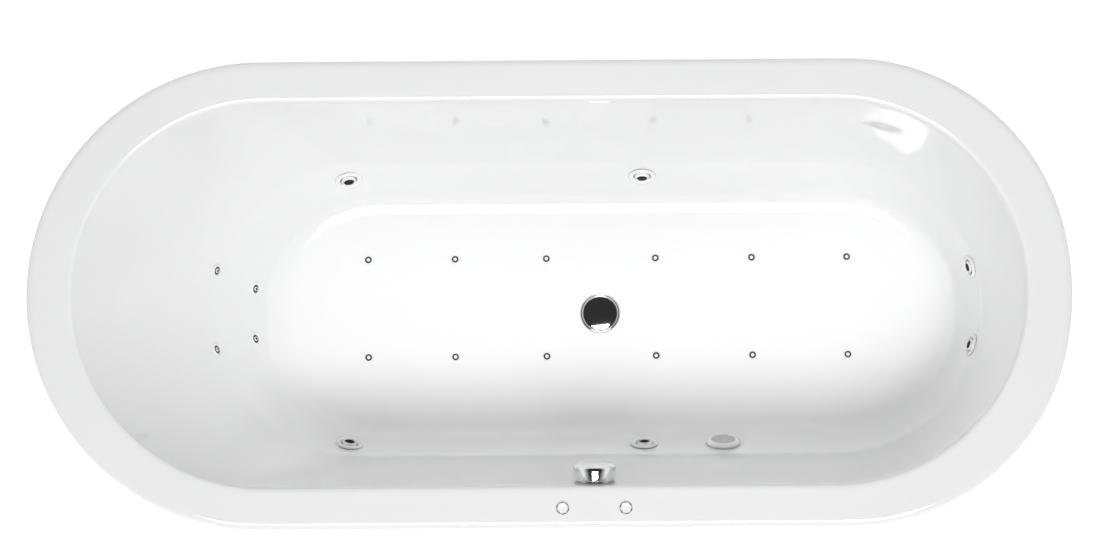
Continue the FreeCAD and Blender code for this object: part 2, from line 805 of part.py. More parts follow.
def suction():
    bore = "Sizes.suction_bore"
    grille = turned("suction_grille_disc", [
        ("0", "4"),
        (f"{bore} + 3.5", "4"),
        (f"{bore} + 3.5", "2"),
        ("Sizes.suction_radius", "2"),
        ("Sizes.suction_radius", "4.5"),
        ("Sizes.suction_radius - 5", "8"),
        ("0", "9.5"),
    ])
    slots = []
    for i in range(int(value("Sizes.suction_slots"))):
        step = i - (value("Sizes.suction_slots") - 1) / 2
        half = math.sqrt(max(value(bore) ** 2 - (8 * step) ** 2, 1)) - 1
        slots.append(box(f"suction_slot_{i}", f"{2 * half}", "4", "20", "0", f"{8 * step}", "0"))
    node(cut("suction_cover", grille, fused("suction_slots_cut", slots)), "suction_grille",
         SUCTION)
    back = "(-Sizes.skin - 14)"
    wall = turned("suction_flange_body", [
        (bore, back),
        (f"{bore} + 3", back),
        (f"{bore} + 3", "1"),
        ("Sizes.suction_radius - 1", "1"),
        ("Sizes.suction_radius - 1", "1.8"),
        (bore, "1.8"),
    ])
    node(wall, "suction_flange", SUCTION)
    top = "(-Sizes.skin - 1.2)"
    cup = turned("suction_cup", [
        ("0", f"{back} - 26"),
        (f"{bore} + 6.5", f"{back} - 26"),
        (f"{bore} + 6.5", f"{top} - 6"),
        (f"{bore} + 11", f"{top} - 6"),
        (f"{bore} + 11", top),
        (f"{bore} + 3.3", top),
        (f"{bore} + 3.3", f"{back} - 1"),
        ("0", f"{back} - 1"),
    ])
    cup.Placement = SUCTION
    down = SUCTION.multVec(V(0, 0, value(f"{back} - 14")))
    start = V(down.x, down.y, value("Sizes.crease_height"))
    port = cylinder("suction_port", "Sizes.suction_pipe_radius + 3", "13", at(*start))
    node(fused("suction_cup_ported", [cup, port]), "suction_body")
    return start


# ---- waste, pop-up plug and overflow -------------------------------------------------------


def waste():
    """The drain in the floor with its pop-up plug, and the trap under it."""
    bore = "Sizes.drain_bore"
    outside = "(Sizes.drain_bore + Sizes.drain_wall)"
    under = "(-Sizes.skin - Sizes.gap)"
    flange = turned("drain_flange_body", [
        (bore, "-30"),
        (outside, "-30"),
        (outside, "0.3"),
        ("Sizes.drain_radius", "0.3"),
        ("Sizes.drain_radius", "1.4"),
        ("Sizes.drain_radius - 2.5", "2.6"),
        (f"{bore} + 4", "2.2"),
        (bore, "0"),
    ])
    node(flange, "drain_flange", DRAIN)
    stem = "Sizes.plug_stem_radius"
    plug = turned("drain_plug_body", [
        ("0", "-40"),
        (stem, "-40"),
        (stem, "-8"),
        (f"{stem} + 4", "-2.5"),
        (f"{bore} - 3", "-2.5"),
        (f"{bore} - 3", "2.6"),
        ("Sizes.plug_radius", "2.9"),
        ("Sizes.plug_radius", "4.2"),
        ("Sizes.plug_radius - 3", "5.8"),
        ("Sizes.plug_radius * 0.5", "8.2"),
        ("0", "9"),
    ])
    node(plug, "drain_plug", DRAIN)
    seal = turned("plug_seal_ring", [
        (f"{bore} - 2.9", "-1.8"),
        (f"{bore} - 0.6", "-1.8"),
        (f"{bore} - 0.6", "0.6"),
        (f"{bore} - 2.9", "0.6"),
    ])
    node(seal, "plug_seal", DRAIN)
    ring = turned("strainer_ring", [
        (f"{bore} - 2.5", "-30"),
        (f"{bore} - 0.3", "-30"),
        (f"{bore} - 0.3", "-27"),
        (f"{bore} - 2.5", "-27"),
    ])
    hub = turned("strainer_hub", [
        (f"{stem} + Sizes.gap", "-32"),
        (f"{stem} + 3", "-32"),
        (f"{stem} + 3", "-22"),
        (f"{stem} + Sizes.gap", "-22"),
    ])
    spoke_length = f"({bore} - 1.5)"
    spokes = [
        cut(f"strainer_spoke_{i}",
            box(f"spoke_bar_{i}", *sides, "3", "0", "0", "-30"),
            cylinder(f"spoke_room_{i}", f"{stem} + 1.5", "12", at(0, 0, -34)))
        for i, sides in enumerate(((f"2 * {spoke_length}", "2.4"), ("2.4", f"2 * {spoke_length}")))
    ]
    node(fused("strainer", [ring, hub, *spokes]), "drain_strainer", DRAIN)
    gasket = turned("drain_gasket_ring", [
        (f"{outside} + 0.5", f"{under} - 3"),
        ("Sizes.trap_radius - 1", f"{under} - 3"),
        ("Sizes.trap_radius - 1", under),
        (f"{outside} + 0.5", under),
    ])
    node(gasket, "drain_gasket", DRAIN)
    top = f"({under} - 3)"
    neck = "(Sizes.trap_top - Sizes.floor_level)"
    room = f"({outside} + Sizes.gap)"
    body = turned("drain_body_cup", [
        (room, top),
        ("Sizes.trap_radius", top),
        ("Sizes.trap_radius", f"{top} - 6"),
        (f"{room} + 3", f"{top} - 6"),
        (f"{room} + 3", f"{neck} + Sizes.gap"),
        ("Sizes.waste_pipe_radius", f"{neck} + Sizes.gap"),
        ("Sizes.waste_pipe_radius", f"{neck} + 16"),
        (room, "-31"),
    ])
    node(body, "drain_body", DRAIN)
    wall = "Sizes.waste_pipe_wall"
    cup = turned("trap_cup", [
        ("0", "Sizes.trap_bottom"),
        ("Sizes.trap_radius - 4", "Sizes.trap_bottom"),
        ("Sizes.trap_radius", "Sizes.trap_bottom + 4"),
        ("Sizes.trap_radius", "Sizes.trap_top"),
        ("Sizes.waste_pipe_radius", "Sizes.trap_top"),
        ("Sizes.waste_pipe_radius", f"Sizes.trap_top - {wall}"),
        (f"Sizes.trap_radius - {wall}", f"Sizes.trap_top - {wall}"),
        (f"Sizes.trap_radius - {wall}", f"Sizes.trap_bottom + {wall}"),
        ("0", f"Sizes.trap_bottom + {wall}"),
    ])
    cup.Placement = at(DRAIN.Base.x, 0, 0)
    out = value("Sizes.trap_radius") - 2
    height = value("Sizes.waste_height")
    end = value("Sizes.waste_pipe_end") - DRAIN.Base.x
    outlet_bore = f"Sizes.waste_pipe_radius - {wall}"
    tail = cylinder("waste_tail", "Sizes.waste_pipe_radius", f"{end - out}",
                    at(DRAIN.Base.x + out, 0, height, V(1, 0, 0)))
    tail_bore = cylinder("waste_bore", outlet_bore, f"{end - out + 20}",
                         at(DRAIN.Base.x + out - 10, 0, height, V(1, 0, 0)))
    collar = cylinder("waste_collar", "Sizes.waste_pipe_radius + 2.5", "5",
                      at(DRAIN.Base.x + end - 65, 0, height, V(1, 0, 0)))
    inlet = cylinder("overflow_inlet", "Sizes.overflow_pipe_radius + 3", "22",
                     at(DRAIN.Base.x, -out, height, V(0, -1, 0)))
    inlet_bore = cylinder("overflow_inlet_bore", "Sizes.overflow_pipe_radius + Sizes.gap", "32",
                          at(DRAIN.Base.x, -out + 10, height, V(0, -1, 0)))
    whole = fused("trap_solid", [cup, tail, collar, inlet])
    node(cut("trap", whole, fused("trap_bores", [tail_bore, inlet_bore])), "waste_trap")


def overflow():
    """The overflow under the rim: flange, turning cap, body and the pipe down to the trap."""
    bore = "Sizes.overflow_bore"
    edge = "Sizes.overflow_flange_radius"
    depth = "Sizes.knob_depth"
    spindle = "5"
    back = "(-Sizes.skin - 14)"
    flange = turned("overflow_flange_body", [
        (bore, back),
        (f"{bore} + 3", back),
        (f"{bore} + 3", "1.2"),
        (edge, "1.2"),
        (edge, "3"),
        (bore, "3"),
    ])
    node(flange, "overflow_flange", OVERFLOW)
    knob = turned("overflow_knob_cap", [
        ("0", f"{back} - 21"),
        (spindle, f"{back} - 21"),
        (spindle, "6"),
        (f"{spindle} + 3", f"{depth} - 4"),
        ("Sizes.knob_radius - 3", f"{depth} - 4"),
        ("Sizes.knob_radius - 3", "4"),
        ("Sizes.knob_radius", "4"),
        ("Sizes.knob_radius", f"{depth} - 7"),
        ("Sizes.knob_radius - 2", f"{depth} - 2"),
        ("Sizes.knob_radius - 7", depth),
        ("0", depth),
    ])
    node(knob, "overflow_knob", OVERFLOW)
    top = "(-Sizes.skin - 1.2)"
    cup = turned("overflow_cup", [
        (f"{spindle} + Sizes.gap", f"{back} - 20"),
        (f"{bore} + 5", f"{back} - 20"),
        (f"{bore} + 5", f"{top} - 5"),
        (f"{bore} + 9", f"{top} - 5"),
        (f"{bore} + 9", top),
        (f"{bore} + 3.3", top),
        (f"{bore} + 3.3", f"{back} - 1"),
        (f"{bore} + 1", f"{back} - 1"),
        (f"{bore} + 1", f"{back} - 16"),
        (f"{spindle} + Sizes.gap", f"{back} - 16"),
    ])
    cup.Placement = OVERFLOW
    middle = OVERFLOW.multVec(V(0, 0, value(f"{back} - 9")))
    down = value(f"{bore} + 24")
    foot = V(middle.x, middle.y, middle.z - down)
    stub = cylinder("overflow_stub", "Sizes.overflow_pipe_radius + 3",
                    f"{down - value(bore) + 4}", at(*foot))
    stub_bore = cylinder("overflow_stub_bore", "Sizes.overflow_pipe_radius + Sizes.gap",
                         f"{down - value(bore) + 12}", at(*foot))
    room = turned("overflow_room", [
        ("0", f"{back} - 16"),
        (f"{bore} + 1", f"{back} - 16"),
        (f"{bore} + 1", f"{back} - 1"),
        (f"{bore} + 3.3", f"{back} - 1"),
        (f"{bore} + 3.3", top),
        ("0", top),
    ])
    room.Placement = OVERFLOW
    node(cut("overflow_cup_bored", fused("overflow_cup_ported", [cup, stub]),
             fused("overflow_rooms", [stub_bore, room])), "overflow_body")
    height = value("Sizes.waste_height")
    inlet_y = -value("Sizes.trap_radius") - 12
    points = [foot + UP * 12, V(foot.x, foot.y, height),
              V(DRAIN.Base.x, foot.y + 70, height), V(DRAIN.Base.x, inlet_y, height)]
    radius = value("Sizes.overflow_pipe_radius")
    rod = pipe(points, radius, 34)
    bore_rod = pipe(points, radius - value("Sizes.waste_pipe_wall"), 34)
    node(pipework("overflow_pipe_run", [rod.cut(bore_rod)]), "overflow_pipe")
    start = OVERFLOW.multVec(V(-18, 0, value(f"{back} - 20.3")))
    outward = OVERFLOW.Rotation.multVec(V(0, 0, -1))
    low = 108
    cable = [
        start,
        start + outward * 16,
        V(start.x - 4, start.y - 18, 400),
        V(start.x - 4, -345, 200),
        V(start.x, -290, low),
        V(DRAIN.Base.x - 4, -150, low),
        V(DRAIN.Base.x, -80, low),
        V(DRAIN.Base.x, -value("Sizes.drain_bore + Sizes.drain_wall + 3.6"), low),
    ]
    node(pipework("waste_cable_run", [pipe(cable, 2.5, 60)]), "waste_cable")


# ---- rim buttons ---------------------------------------------------------------------------


def hexagon(radius):
    return [(f"{radius} * cos({turn} deg)", f"{radius} * sin({turn} deg)")
            for turn in range(10, 370, 60)]


def button_cap(name, place):
    """A six-sided cap with a bevelled top, on a round plunger."""
    body = doc.addObject("PartDesign::Body", f"{name}_cap")
    radius = "Sizes.button_radius"
    levels = (("-6", radius), ("4.6", radius), ("6.6", f"({radius} - 2.4)"))
    sections = [draw(sketch_on(body, f"{name}_hexagon_{i}", "XY_Plane", level), hexagon(size))
                for i, (level, size) in enumerate(levels)]
    loft(body, "Additive", f"{name}_loft", sections)
    plunger = cylinder(f"{name}_plunger", "5.5", "18", at(0, 0, -23))
    return node(fused(f"{name}_whole", [body, plunger]), name, place)


def buttons():
    radius = "Sizes.button_radius"
    barrel = f"({radius} + 1)"
    under = "(-Sizes.skin - Sizes.gap)"
    bezel = turned("bezel_master", [
        (f"{radius} + Sizes.gap", "-15"),
        (barrel, "-15"),
        (barrel, "0.2"),
        ("Sizes.bezel_radius", "0.2"),
        ("Sizes.bezel_radius", "1.4"),
        ("Sizes.bezel_radius - 0.7", "2.2"),
        (f"{radius} + Sizes.gap", "2.2"),
    ])
    air_body = turned("button_body_master", [
        ("0", "-56"),
        ("2.5", "-56"),
        ("2.5", "-48"),
        ("12", "-46"),
        ("12", "-18"),
        (f"{barrel} + 6", f"{under} - 4"),
        (f"{barrel} + 6", under),
        (f"{barrel} + Sizes.gap", under),
        (f"{barrel} + Sizes.gap", "-16"),
        ("6", "-16"),
        ("6", "-32"),
        ("0", "-32"),
    ])
    node(copies("bezels", bezel, BUTTONS), "button_bezels")
    node(copies("button_air_bodies", air_body, BUTTONS), "button_bodies")
    for name, place in zip(("jet_button", "air_button"), BUTTONS):
        button_cap(name, place)


# ---- pump, blower, control box and pipes ---------------------------------------------------

SHELF_TOP = f"({RAIL_TOP} + Sizes.gap + Sizes.board_thickness)"


def machines():
    """Pump and blower on a shelf across the rails, under the sloping head end."""
    shelf = box("shelf_board", "Sizes.shelf_length", "Sizes.shelf_width",
                "Sizes.board_thickness", "Sizes.shelf_middle", "0", f"{RAIL_TOP} + Sizes.gap")
    node(shelf, "equipment_shelf")
    pump = at(value("Sizes.pump_x"), value("Sizes.pump_face_y"), value("Sizes.pump_height"),
              V(0, 1, 0))
    stub = "Sizes.suction_pipe_radius"
    wet = "Sizes.wet_end_radius"
    length = "Sizes.wet_end_length"
    volute = turned("volute", [
        ("0", "0"),
        (f"{stub} + 6", "0"),
        (f"{stub} + 6", "10"),
        (f"{wet} - 16", "16"),
        (f"{wet} - 6", "26"),
        (wet, "34"),
        (wet, f"{length} - 8"),
        (f"{wet} - 6", f"{length} - 8"),
        (f"{wet} - 6", length),
        ("0", length),
    ])
    volute.Placement = pump
    neck_y = value("Sizes.pump_face_y + 52")
    neck = cylinder("discharge_neck", "Sizes.water_pipe_radius + 3",
                    f"Sizes.header_height - Sizes.pump_height - Sizes.water_pipe_radius"
                    " - Sizes.gap", at(pump.Base.x, neck_y, pump.Base.z))
    node(fused("wet_end", [volute, neck]), "pump_wet_end")
    radius = "Sizes.motor_radius"
    start = f"({length} + Sizes.gap)"
    end = f"({start} + Sizes.motor_length)"
    motor = turned("motor_can", [
        ("0", start),
        (f"{radius} - 4", start),
        (f"{radius} - 4", f"{start} + 14"),
        (radius, f"{start} + 18"),
        (radius, f"{end} - 6"),
        (f"{radius} - 3", end),
        ("0", end),
    ])
    node(motor, "pump_motor", pump)
    cover = turned("fan_cover_dish", [
        ("0", f"{end} + Sizes.gap"),
        (f"{radius} - 2", f"{end} + Sizes.gap"),
        (f"{radius} - 2", f"{end} + Sizes.fan_cover_length - 8"),
        (f"{radius} - 10", f"{end} + Sizes.fan_cover_length"),
        ("0", f"{end} + Sizes.fan_cover_length"),
    ])
    node(cover, "pump_fan_cover", pump)
    saddle_y = value(f"Sizes.pump_face_y + {start} + Sizes.motor_length / 2")
    saddle = box("saddle_block", f"1.5 * {radius}", "Sizes.motor_length * 0.6",
                 f"Sizes.pump_height - 0.75 * {radius} - {SHELF_TOP} - Sizes.gap",
                 "Sizes.pump_x", f"{saddle_y}", f"{SHELF_TOP} + Sizes.gap")
    seat = cylinder("saddle_seat", f"{radius} + Sizes.gap", "Sizes.motor_length",
                    at(pump.Base.x, saddle_y - 100, pump.Base.z, V(0, 1, 0)))
    node(cut("saddle", saddle, seat), "pump_foot")
    base = at(value("Sizes.blower_x"), value("Sizes.blower_y"),
              value(f"{SHELF_TOP} + Sizes.gap"))
    wide = "Sizes.blower_radius"
    tall = "Sizes.blower_height"
    fan = turned("blower_housing", [
        ("0", "0"),
        (wide, "0"),
        (wide, f"{tall} * 0.42"),
        (f"{wide} - 8", f"{tall} * 0.48"),
        (f"{wide} - 12", f"{tall} * 0.48"),
        (f"{wide} - 12", f"{tall} - 14"),
        (f"{wide} - 24", tall),
        ("0", tall),
    ])
    fan.Placement = base
    outlet = base.multVec(V(0, 0, 28))
    spout = cylinder("blower_spout", "Sizes.air_pipe_radius + 3", f"{wide} + 25",
                     at(outlet.x, outlet.y, outlet.z, V(1, 0, 0)))
    node(fused("blower_whole", [fan, spout]), "air_blower")
    return pump, outlet + V(value(f"{wide} + 25"), 0, 0)


def control_box():
    x, y = "Sizes.cradle_head - 20", "Sizes.post_offset - Sizes.tube_side / 2 - 17.5"
    case = box("control_case", "150", "34.4", "110", x, f"-({y})", "330")
    gland = cylinder("gland", "9", "14", at(value(x) - 40, -value(y), 330 - 14.3))
    node(case, "control_box")
    node(gland, "mains_gland")
    return V(value(x) + 60, -value(y), 440.3)


def jet_ports(frame, seat, axis):
    """Both ends of a wall jet's port, and the way each one points."""
    wall = f"({seat} + {JET_WALL} + Sizes.gap + 3)"
    level = value("-Sizes.skin - 12 - Sizes.jet_body_depth / 2")
    reach = value(f"{wall} + Sizes.jet_port_length") + value("Sizes.gap")
    ends = []
    for sign in (1, -1):
        way = frame.Rotation.multVec(axis * sign)
        ends.append((frame.multVec(axis * (sign * reach) + V(0, 0, level)), way))
    return ends


def water_pipes(pump, suction_foot):
    """Pressure pipes from the pump's header to every wall jet, and the suction pipe back."""
    radius = value("Sizes.water_pipe_radius")
    bend = 70
    side = [jet_ports(frame, SIDE_SEAT, V(1, 0, 0)) for frame in SIDE_JETS]
    foot = [jet_ports(frame, FOOT_SEAT, V(0, 1, 0)) for frame in FOOT_JETS]
    header_x, header_z = pump.Base.x, value("Sizes.header_height")
    runs = []
    for sign, head_jet in ((1, side[0]), (-1, side[2])):
        end, way = head_jet[1]
        runs.append([end, end + way * 40, V(-480, sign * 305, 240), V(-640, sign * 285, 330),
                     V(header_x, sign * 200, header_z), V(header_x, 0, header_z)])
    across = runs[0] + list(reversed(runs[1][:-1]))
    across.remove(V(header_x, 0, header_z))
    node(pipework("header_run", [pipe(across, radius, bend)]), "pressure_header")
    names = ("back", "front")
    for name, sign, head_jet, foot_jet, tip in zip(names, (1, -1), side[::2], side[1::2], foot):
        start, way = head_jet[0]
        end, end_way = foot_jet[1]
        first = pipe([start, start + way * 50, end + end_way * 50, end], radius, bend)
        start, way = foot_jet[0]
        end, end_way = tip[0] if sign == 1 else tip[1]
        points = [start, start + way * 20, V(262, sign * 315, 224), V(355, sign * 315, 226),
                  V(560, sign * 287, 240), V(715, sign * 230, 258), end + end_way * 30, end]
        node(pipework(f"{name}_runs", [first, pipe(points, radius, bend)]),
             f"pressure_pipe_{name}")
    (start, way), (end, end_way) = foot[0][1], foot[1][0]
    link = pipe([start, start + way * 25, end + end_way * 25, end], radius, bend)
    node(pipework("foot_link", [link]), "pressure_pipe_foot")
    wide = value("Sizes.suction_pipe_radius")
    low = 160
    mouth = pump.Base - V(0, value("Sizes.gap"), 0)
    points = [suction_foot - UP * value("Sizes.gap"), V(suction_foot.x, suction_foot.y, low),
              V(-560, suction_foot.y, low), mouth - V(0, 50, 0), mouth]
    node(pipework("suction_run", [pipe(points, wide, 30)]), "suction_pipe")
    hoses = []
    room = Part.makeCylinder(radius + value("Sizes.gap"), 300, V(header_x, -150, header_z),
                             V(0, 1, 0))
    for frame, lane in zip(BACK_JETS, (78, -78, 30, -30)):
        way = frame.Rotation.multVec(V(-1, 0, 0))
        start = frame.multVec(V(-22.3, 0, -31))
        up = start + way * (36 if abs(lane) > 50 else 30)
        end = V(header_x, lane, header_z)
        points = [start, up, end + V(45, 0, 0), end]
        if abs(lane) < 50:
            points = [start, up, V(-645, lane, 322), end + V(45, 0, 0), end]
        hoses.append(pipe(points, 5, 40).cut(room))
    node(pipework("back_hoses", hoses), "back_jet_hoses")


def air_pipes(outlet):
    """The air manifold under the floor, and the hose that loops up above the water line."""
    radius = "Sizes.air_pipe_radius"
    height = value("Sizes.air_pipe_height")
    start, end = AIR_JET_STATIONS[0] - 70, AIR_JET_STATIONS[-1] + 15
    rows = [value(f"Sizes.air_row_shift + {sign} * Sizes.air_row_half") for sign in (1, -1)]
    pieces = [cylinder(f"air_rail_{i}", radius, f"{end - start}",
                       at(start, y, height, V(1, 0, 0))) for i, y in enumerate(rows)]
    pieces.append(cylinder("air_cross", radius, f"{rows[0] - rows[1]}",
                           at(start, rows[1], height, V(0, 1, 0))))
    sockets = []
    for i, frame in enumerate(AIR_JETS, 1):
        x, y = frame.Base.x, frame.Base.y
        pieces.append(cylinder(f"air_stub_{i}", "Sizes.air_barrel_radius + 3", "22",
                               at(x, y, height)))
        sockets.append(cylinder(f"air_socket_{i}", "Sizes.air_barrel_radius + Sizes.gap", "22",
                                at(x, y, FLOOR - 36.3)))
    node(cut("manifold", fused("manifold_pipes", pieces), fused("air_sockets", sockets)),
         "air_manifold")
    low, high, lane = 68, 530, 345
    middle = sum(rows) / 2
    points = [
        outlet + V(value("Sizes.gap"), 0, 0),
        V(-535, outlet.y, outlet.z),
        V(-570, lane, outlet.z),
        V(-570, lane, high),
        V(-505, lane, high),
        V(-505, lane, low),
        V(-420, 190, low),
        V(start, middle, low),
        V(start, middle, height - value(f"{radius} + Sizes.gap")),
    ]
    node(pipework("air_supply_run", [pipe(points, value(radius), 28)]), "air_supply_hose")


def button_tubes(box_top):
    """Two thin air tubes from the buttons along the front side to the control box."""
    lanes = ((-321, 470, 0), (-321, 480, 14))
    tubes = []
    for place, (y, z, shift) in zip(BUTTONS, lanes):
        x = place.Base.x
        points = [
            V(x, place.Base.y, value("Sizes.rim_height") - 56.3),
            V(x, place.Base.y, 525),
            V(x - 12, y, z),
            V(-340, y, z),
            V(box_top.x - shift, box_top.y, box_top.z + 20),
            V(box_top.x - shift, box_top.y, box_top.z),
        ]
        tubes.append(pipe(points, 2, 15))
    node(pipework("button_tube_runs", tubes), "button_tubes")


def build():
    node(tub_shell(), "tub_shell")
    node(base_board(), "base_board")
    node(support_frame(), "support_frame")
    feet()
    jets()
    air_jets()
    suction_foot = suction()
    waste()
    overflow()
    buttons()
    pump, outlet = machines()
    box_top = control_box()
    water_pipes(pump, suction_foot)
    air_pipes(outlet)
    button_tubes(box_top)
    doc.recompute()


def check():
    """Stops before anything is written if a feature failed or a sub-part isn't sound."""
    for thing in doc.Objects:
        if "Invalid" in thing.State or "Error" in thing.State:
            raise RuntimeError(f"{thing.Name} failed: {thing.State}")
    for thing in nodes:
        if thing.Shape.isNull() or not thing.Shape.isValid():
            raise RuntimeError(f"{thing.Label} has no sound shape")
    labels = [thing.Label for thing in nodes]
    if len(set(labels)) != len(labels) or len(labels) > 60:
        raise RuntimeError("sub-part names repeat, or there are too many")


def write():
    os.makedirs("parts", exist_ok=True)
    for thing in nodes:
        thing.Shape.exportStep(f"parts/{thing.Label}.step")
    print(len(nodes), "sub-parts written")


build()
check()
write()
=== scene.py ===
import math
from functools import cache

import bmesh
import bpy
from mathutils import Matrix, Vector


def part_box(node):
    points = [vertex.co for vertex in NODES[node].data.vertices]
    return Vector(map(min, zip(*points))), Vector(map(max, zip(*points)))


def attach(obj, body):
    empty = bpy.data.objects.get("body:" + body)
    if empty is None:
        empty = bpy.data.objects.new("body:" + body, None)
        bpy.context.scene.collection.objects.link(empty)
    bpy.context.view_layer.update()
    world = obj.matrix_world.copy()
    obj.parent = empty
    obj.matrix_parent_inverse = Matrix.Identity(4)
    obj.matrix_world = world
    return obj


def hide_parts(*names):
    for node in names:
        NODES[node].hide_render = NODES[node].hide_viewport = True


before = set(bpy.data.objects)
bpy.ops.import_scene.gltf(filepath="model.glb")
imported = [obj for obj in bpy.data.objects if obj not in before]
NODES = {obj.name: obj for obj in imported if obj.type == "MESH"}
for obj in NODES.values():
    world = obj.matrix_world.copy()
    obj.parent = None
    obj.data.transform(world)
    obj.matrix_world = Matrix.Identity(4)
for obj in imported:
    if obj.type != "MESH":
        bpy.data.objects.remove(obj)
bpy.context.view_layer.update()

bl_info = {
    "name": "Jetted bathtub",
    "version": (1, 0, 0),
    "blender": (4, 5, 0),
    "location": "View3D > Sidebar > Bathtub",
    "description": "Builds an oval jetted tub with its fittings, frame, machines and studio",
    "category": "Object",
}

UP = Vector((0, 0, 1))


def length_value(name, size, description):
    return bpy.props.FloatProperty(name=name, default=size, description=description,
                                   unit="LENGTH", precision=4)


def tint_value(name, colour, description):
    return bpy.props.FloatVectorProperty(name=name, default=colour, description=description,
                                         subtype="COLOR", size=3, min=0, max=1)


class TubSizes(bpy.types.PropertyGroup):
    """Sizes of the tub and its fittings."""

    rim_height: length_value("Rim height", 0.6, "Floor to the top of the rim")
    rim_half: length_value("Rim half width", 0.4, "Half the width over the rim")
    rim_tip: length_value("Rim tip", 0.89, "Middle to either end of the rim")
    rim_skirt: length_value("Rim skirt", 0.04, "How far the rim's edge is turned down")
    foot_tip_radius: length_value("Foot tip radius", 0.486, "Rim's flatter arc at the foot")
    foot_shoulder_radius: length_value("Foot shoulder radius", 0.377, "Rim's arcs beside it")
    skin: length_value("Skin", 0.008, "Acrylic with its laminate")
    floor_level: length_value("Floor level", 0.175, "Height of the tub's flat floor")
    side_jet_height: length_value("Side jet height", 0.245, "Side jets above the ground")
    foot_jet_height: length_value("Foot jet height", 0.275, "Foot jets above the ground")
    suction_height: length_value("Suction height", 0.243, "Suction cover above the ground")
    overflow_height: length_value("Overflow height", 0.544, "Overflow above the ground")
    drain_x: length_value("Drain place", 0.091, "Drain along the tub")


class TubColours(bpy.types.PropertyGroup):
    """Colours of the main finishes."""

    acrylic: tint_value("Acrylic", (0.915, 0.917, 0.92), "Tub inside and rim")
    fitting: tint_value("Fittings", (0.93, 0.93, 0.93), "Jet rings, nozzles and caps")
    metal: tint_value("Plated metal", (0.78, 0.785, 0.79), "Drain, overflow and buttons")
    laminate: tint_value("Laminate", (0.62, 0.63, 0.52), "Fibre lay-up on the tub's back")
    zinc: tint_value("Zinc", (0.55, 0.57, 0.58), "Frame tubes")
    board: tint_value("Board", (0.42, 0.29, 0.16), "Base board and shelf")
    pvc: tint_value("Pipes", (0.72, 0.72, 0.69), "Rigid pipes and jet bodies")


class StudioSettings(bpy.types.PropertyGroup):
    """The camera."""

    lens: bpy.props.FloatProperty(name="Lens", default=138.8, description="Focal length",
                                  unit="CAMERA")
    distance: length_value("Camera distance", 7.2, "Camera to the rim's middle")
    tilt: bpy.props.FloatProperty(name="Camera tilt", default=math.radians(5.3),
                                  description="Lean from straight above", subtype="ANGLE")
    roll: bpy.props.FloatProperty(name="Camera roll", default=math.radians(-0.4),
                                  description="Turn about the view line", subtype="ANGLE")


# ---- shapes --------------------------------------------------------------------------------

# Lengths are in metres, but the profiles for turned() are in millimetres.

# Inner ovals of the tub: height, half width, reach at the head, reach at the foot.
CREASE = (0.195, 0.2185, 0.516, 0.733)
FLARE = (0.290, 0.260, 0.592, 0.762)
OPENING = (0.592, 0.328, 0.811, 0.812)
SLOPE_STEP = 0.001  # the height over which the wall's slope is taken

# Places of the fittings: X along the tub, Y across, Z up.
SIDE_JETS_X = (-0.357, 0.167)
FOOT_JETS_Y = (0.07, -0.07)
BACK_JETS_YZ = ((0.07, 0.298), (-0.07, 0.298), (0.045, 0.213), (-0.045, 0.213))
AIR_ROWS_Y = (0.099, -0.077)
AIR_JETS_X = (-0.325, -0.169, -0.005, 0.191, 0.364, 0.535)
SUCTION_X = 0.307
OVERFLOW_X = 0.075
BUTTONS_X = (0.02, 0.127)
BUTTONS_Y = -0.366

# Frame: the cradles, the two rails under the board, the bolts between rails and shelf.
CRADLES_X = (-0.45, -0.085, 0.45)
RAILS_Y = (0.14, -0.14)
TUBE_SIDE = 0.03
WELD_GAP = 0.0003
SHELF_BOLTS_X = (-0.775, -0.555)
FOOT_PAD_RADIUS = 0.024

# Pipes and pump: Y and Z of two hose clips, how far the pipe sockets stand beside and behind
# their jets, and the circle of the pump's clamp bolts.
WASTE_PIPE = (-0.062, 0.0655)
AIR_HOSE_END = (0.011, 0.108)
SOCKET_GAP = 0.023
SOCKET_DEPTH = 0.039
CLAMP_RADIUS = 0.078


def between(low, high, share):
    return tuple(a + (b - a) * share for a, b in zip(low, high))


def section_at(height):
    """The oval at a height of the inner wall."""
    low, high = (CREASE, FLARE) if height <= FLARE[0] else (FLARE, OPENING)
    return between(low, high, (height - low[0]) / (high[0] - low[0]))


def spot(x, y, z):
    """A matrix at a point, square to the object."""
    return Matrix.Translation((x, y, z))


def frame_on(point, normal):
    """A matrix at a point with its Z axis along a direction."""
    return Matrix.Translation(point) @ UP.rotation_difference(normal).to_matrix().to_4x4()


def wall_frame(side, along, height):
    """A matrix on the tub's inner wall with Z into the room."""
    _, half, head, foot = section_at(height)
    _, half_up, head_up, foot_up = section_at(height + SLOPE_STEP)
    widening = half_up - half
    if side in ("back", "front"):
        sign = 1 if side == "back" else -1
        ends = (half - head, foot - half)
        middle = min(max(along, ends[0]), ends[1])
        drift = half_up - head_up - ends[0] if middle == ends[0] else foot_up - half_up - ends[1]
        off = along - middle
        out = math.sqrt(half**2 - off**2)
        drift = 0 if off == 0 else drift
        inward = Vector((-off, -sign * out, (off * drift + half * widening) / SLOPE_STEP))
        return frame_on(Vector((along, sign * out, height)), inward)
    sign = 1 if side == "foot" else -1
    middle = (foot if side == "foot" else head) - half
    drift = (foot_up if side == "foot" else head_up) - half_up - middle
    out = math.sqrt(half**2 - along**2)
    inward = Vector((-sign * out, -along, (out * drift + half * widening) / SLOPE_STEP))
    return frame_on(Vector((sign * (middle + out), along, height)), inward)


def sizes():
    return bpy.context.scene.tub_sizes


def colours():
    return bpy.context.scene.tub_colours


def side_jets():
    return [wall_frame(side, x, sizes().side_jet_height)
            for side in ("back", "front") for x in SIDE_JETS_X]


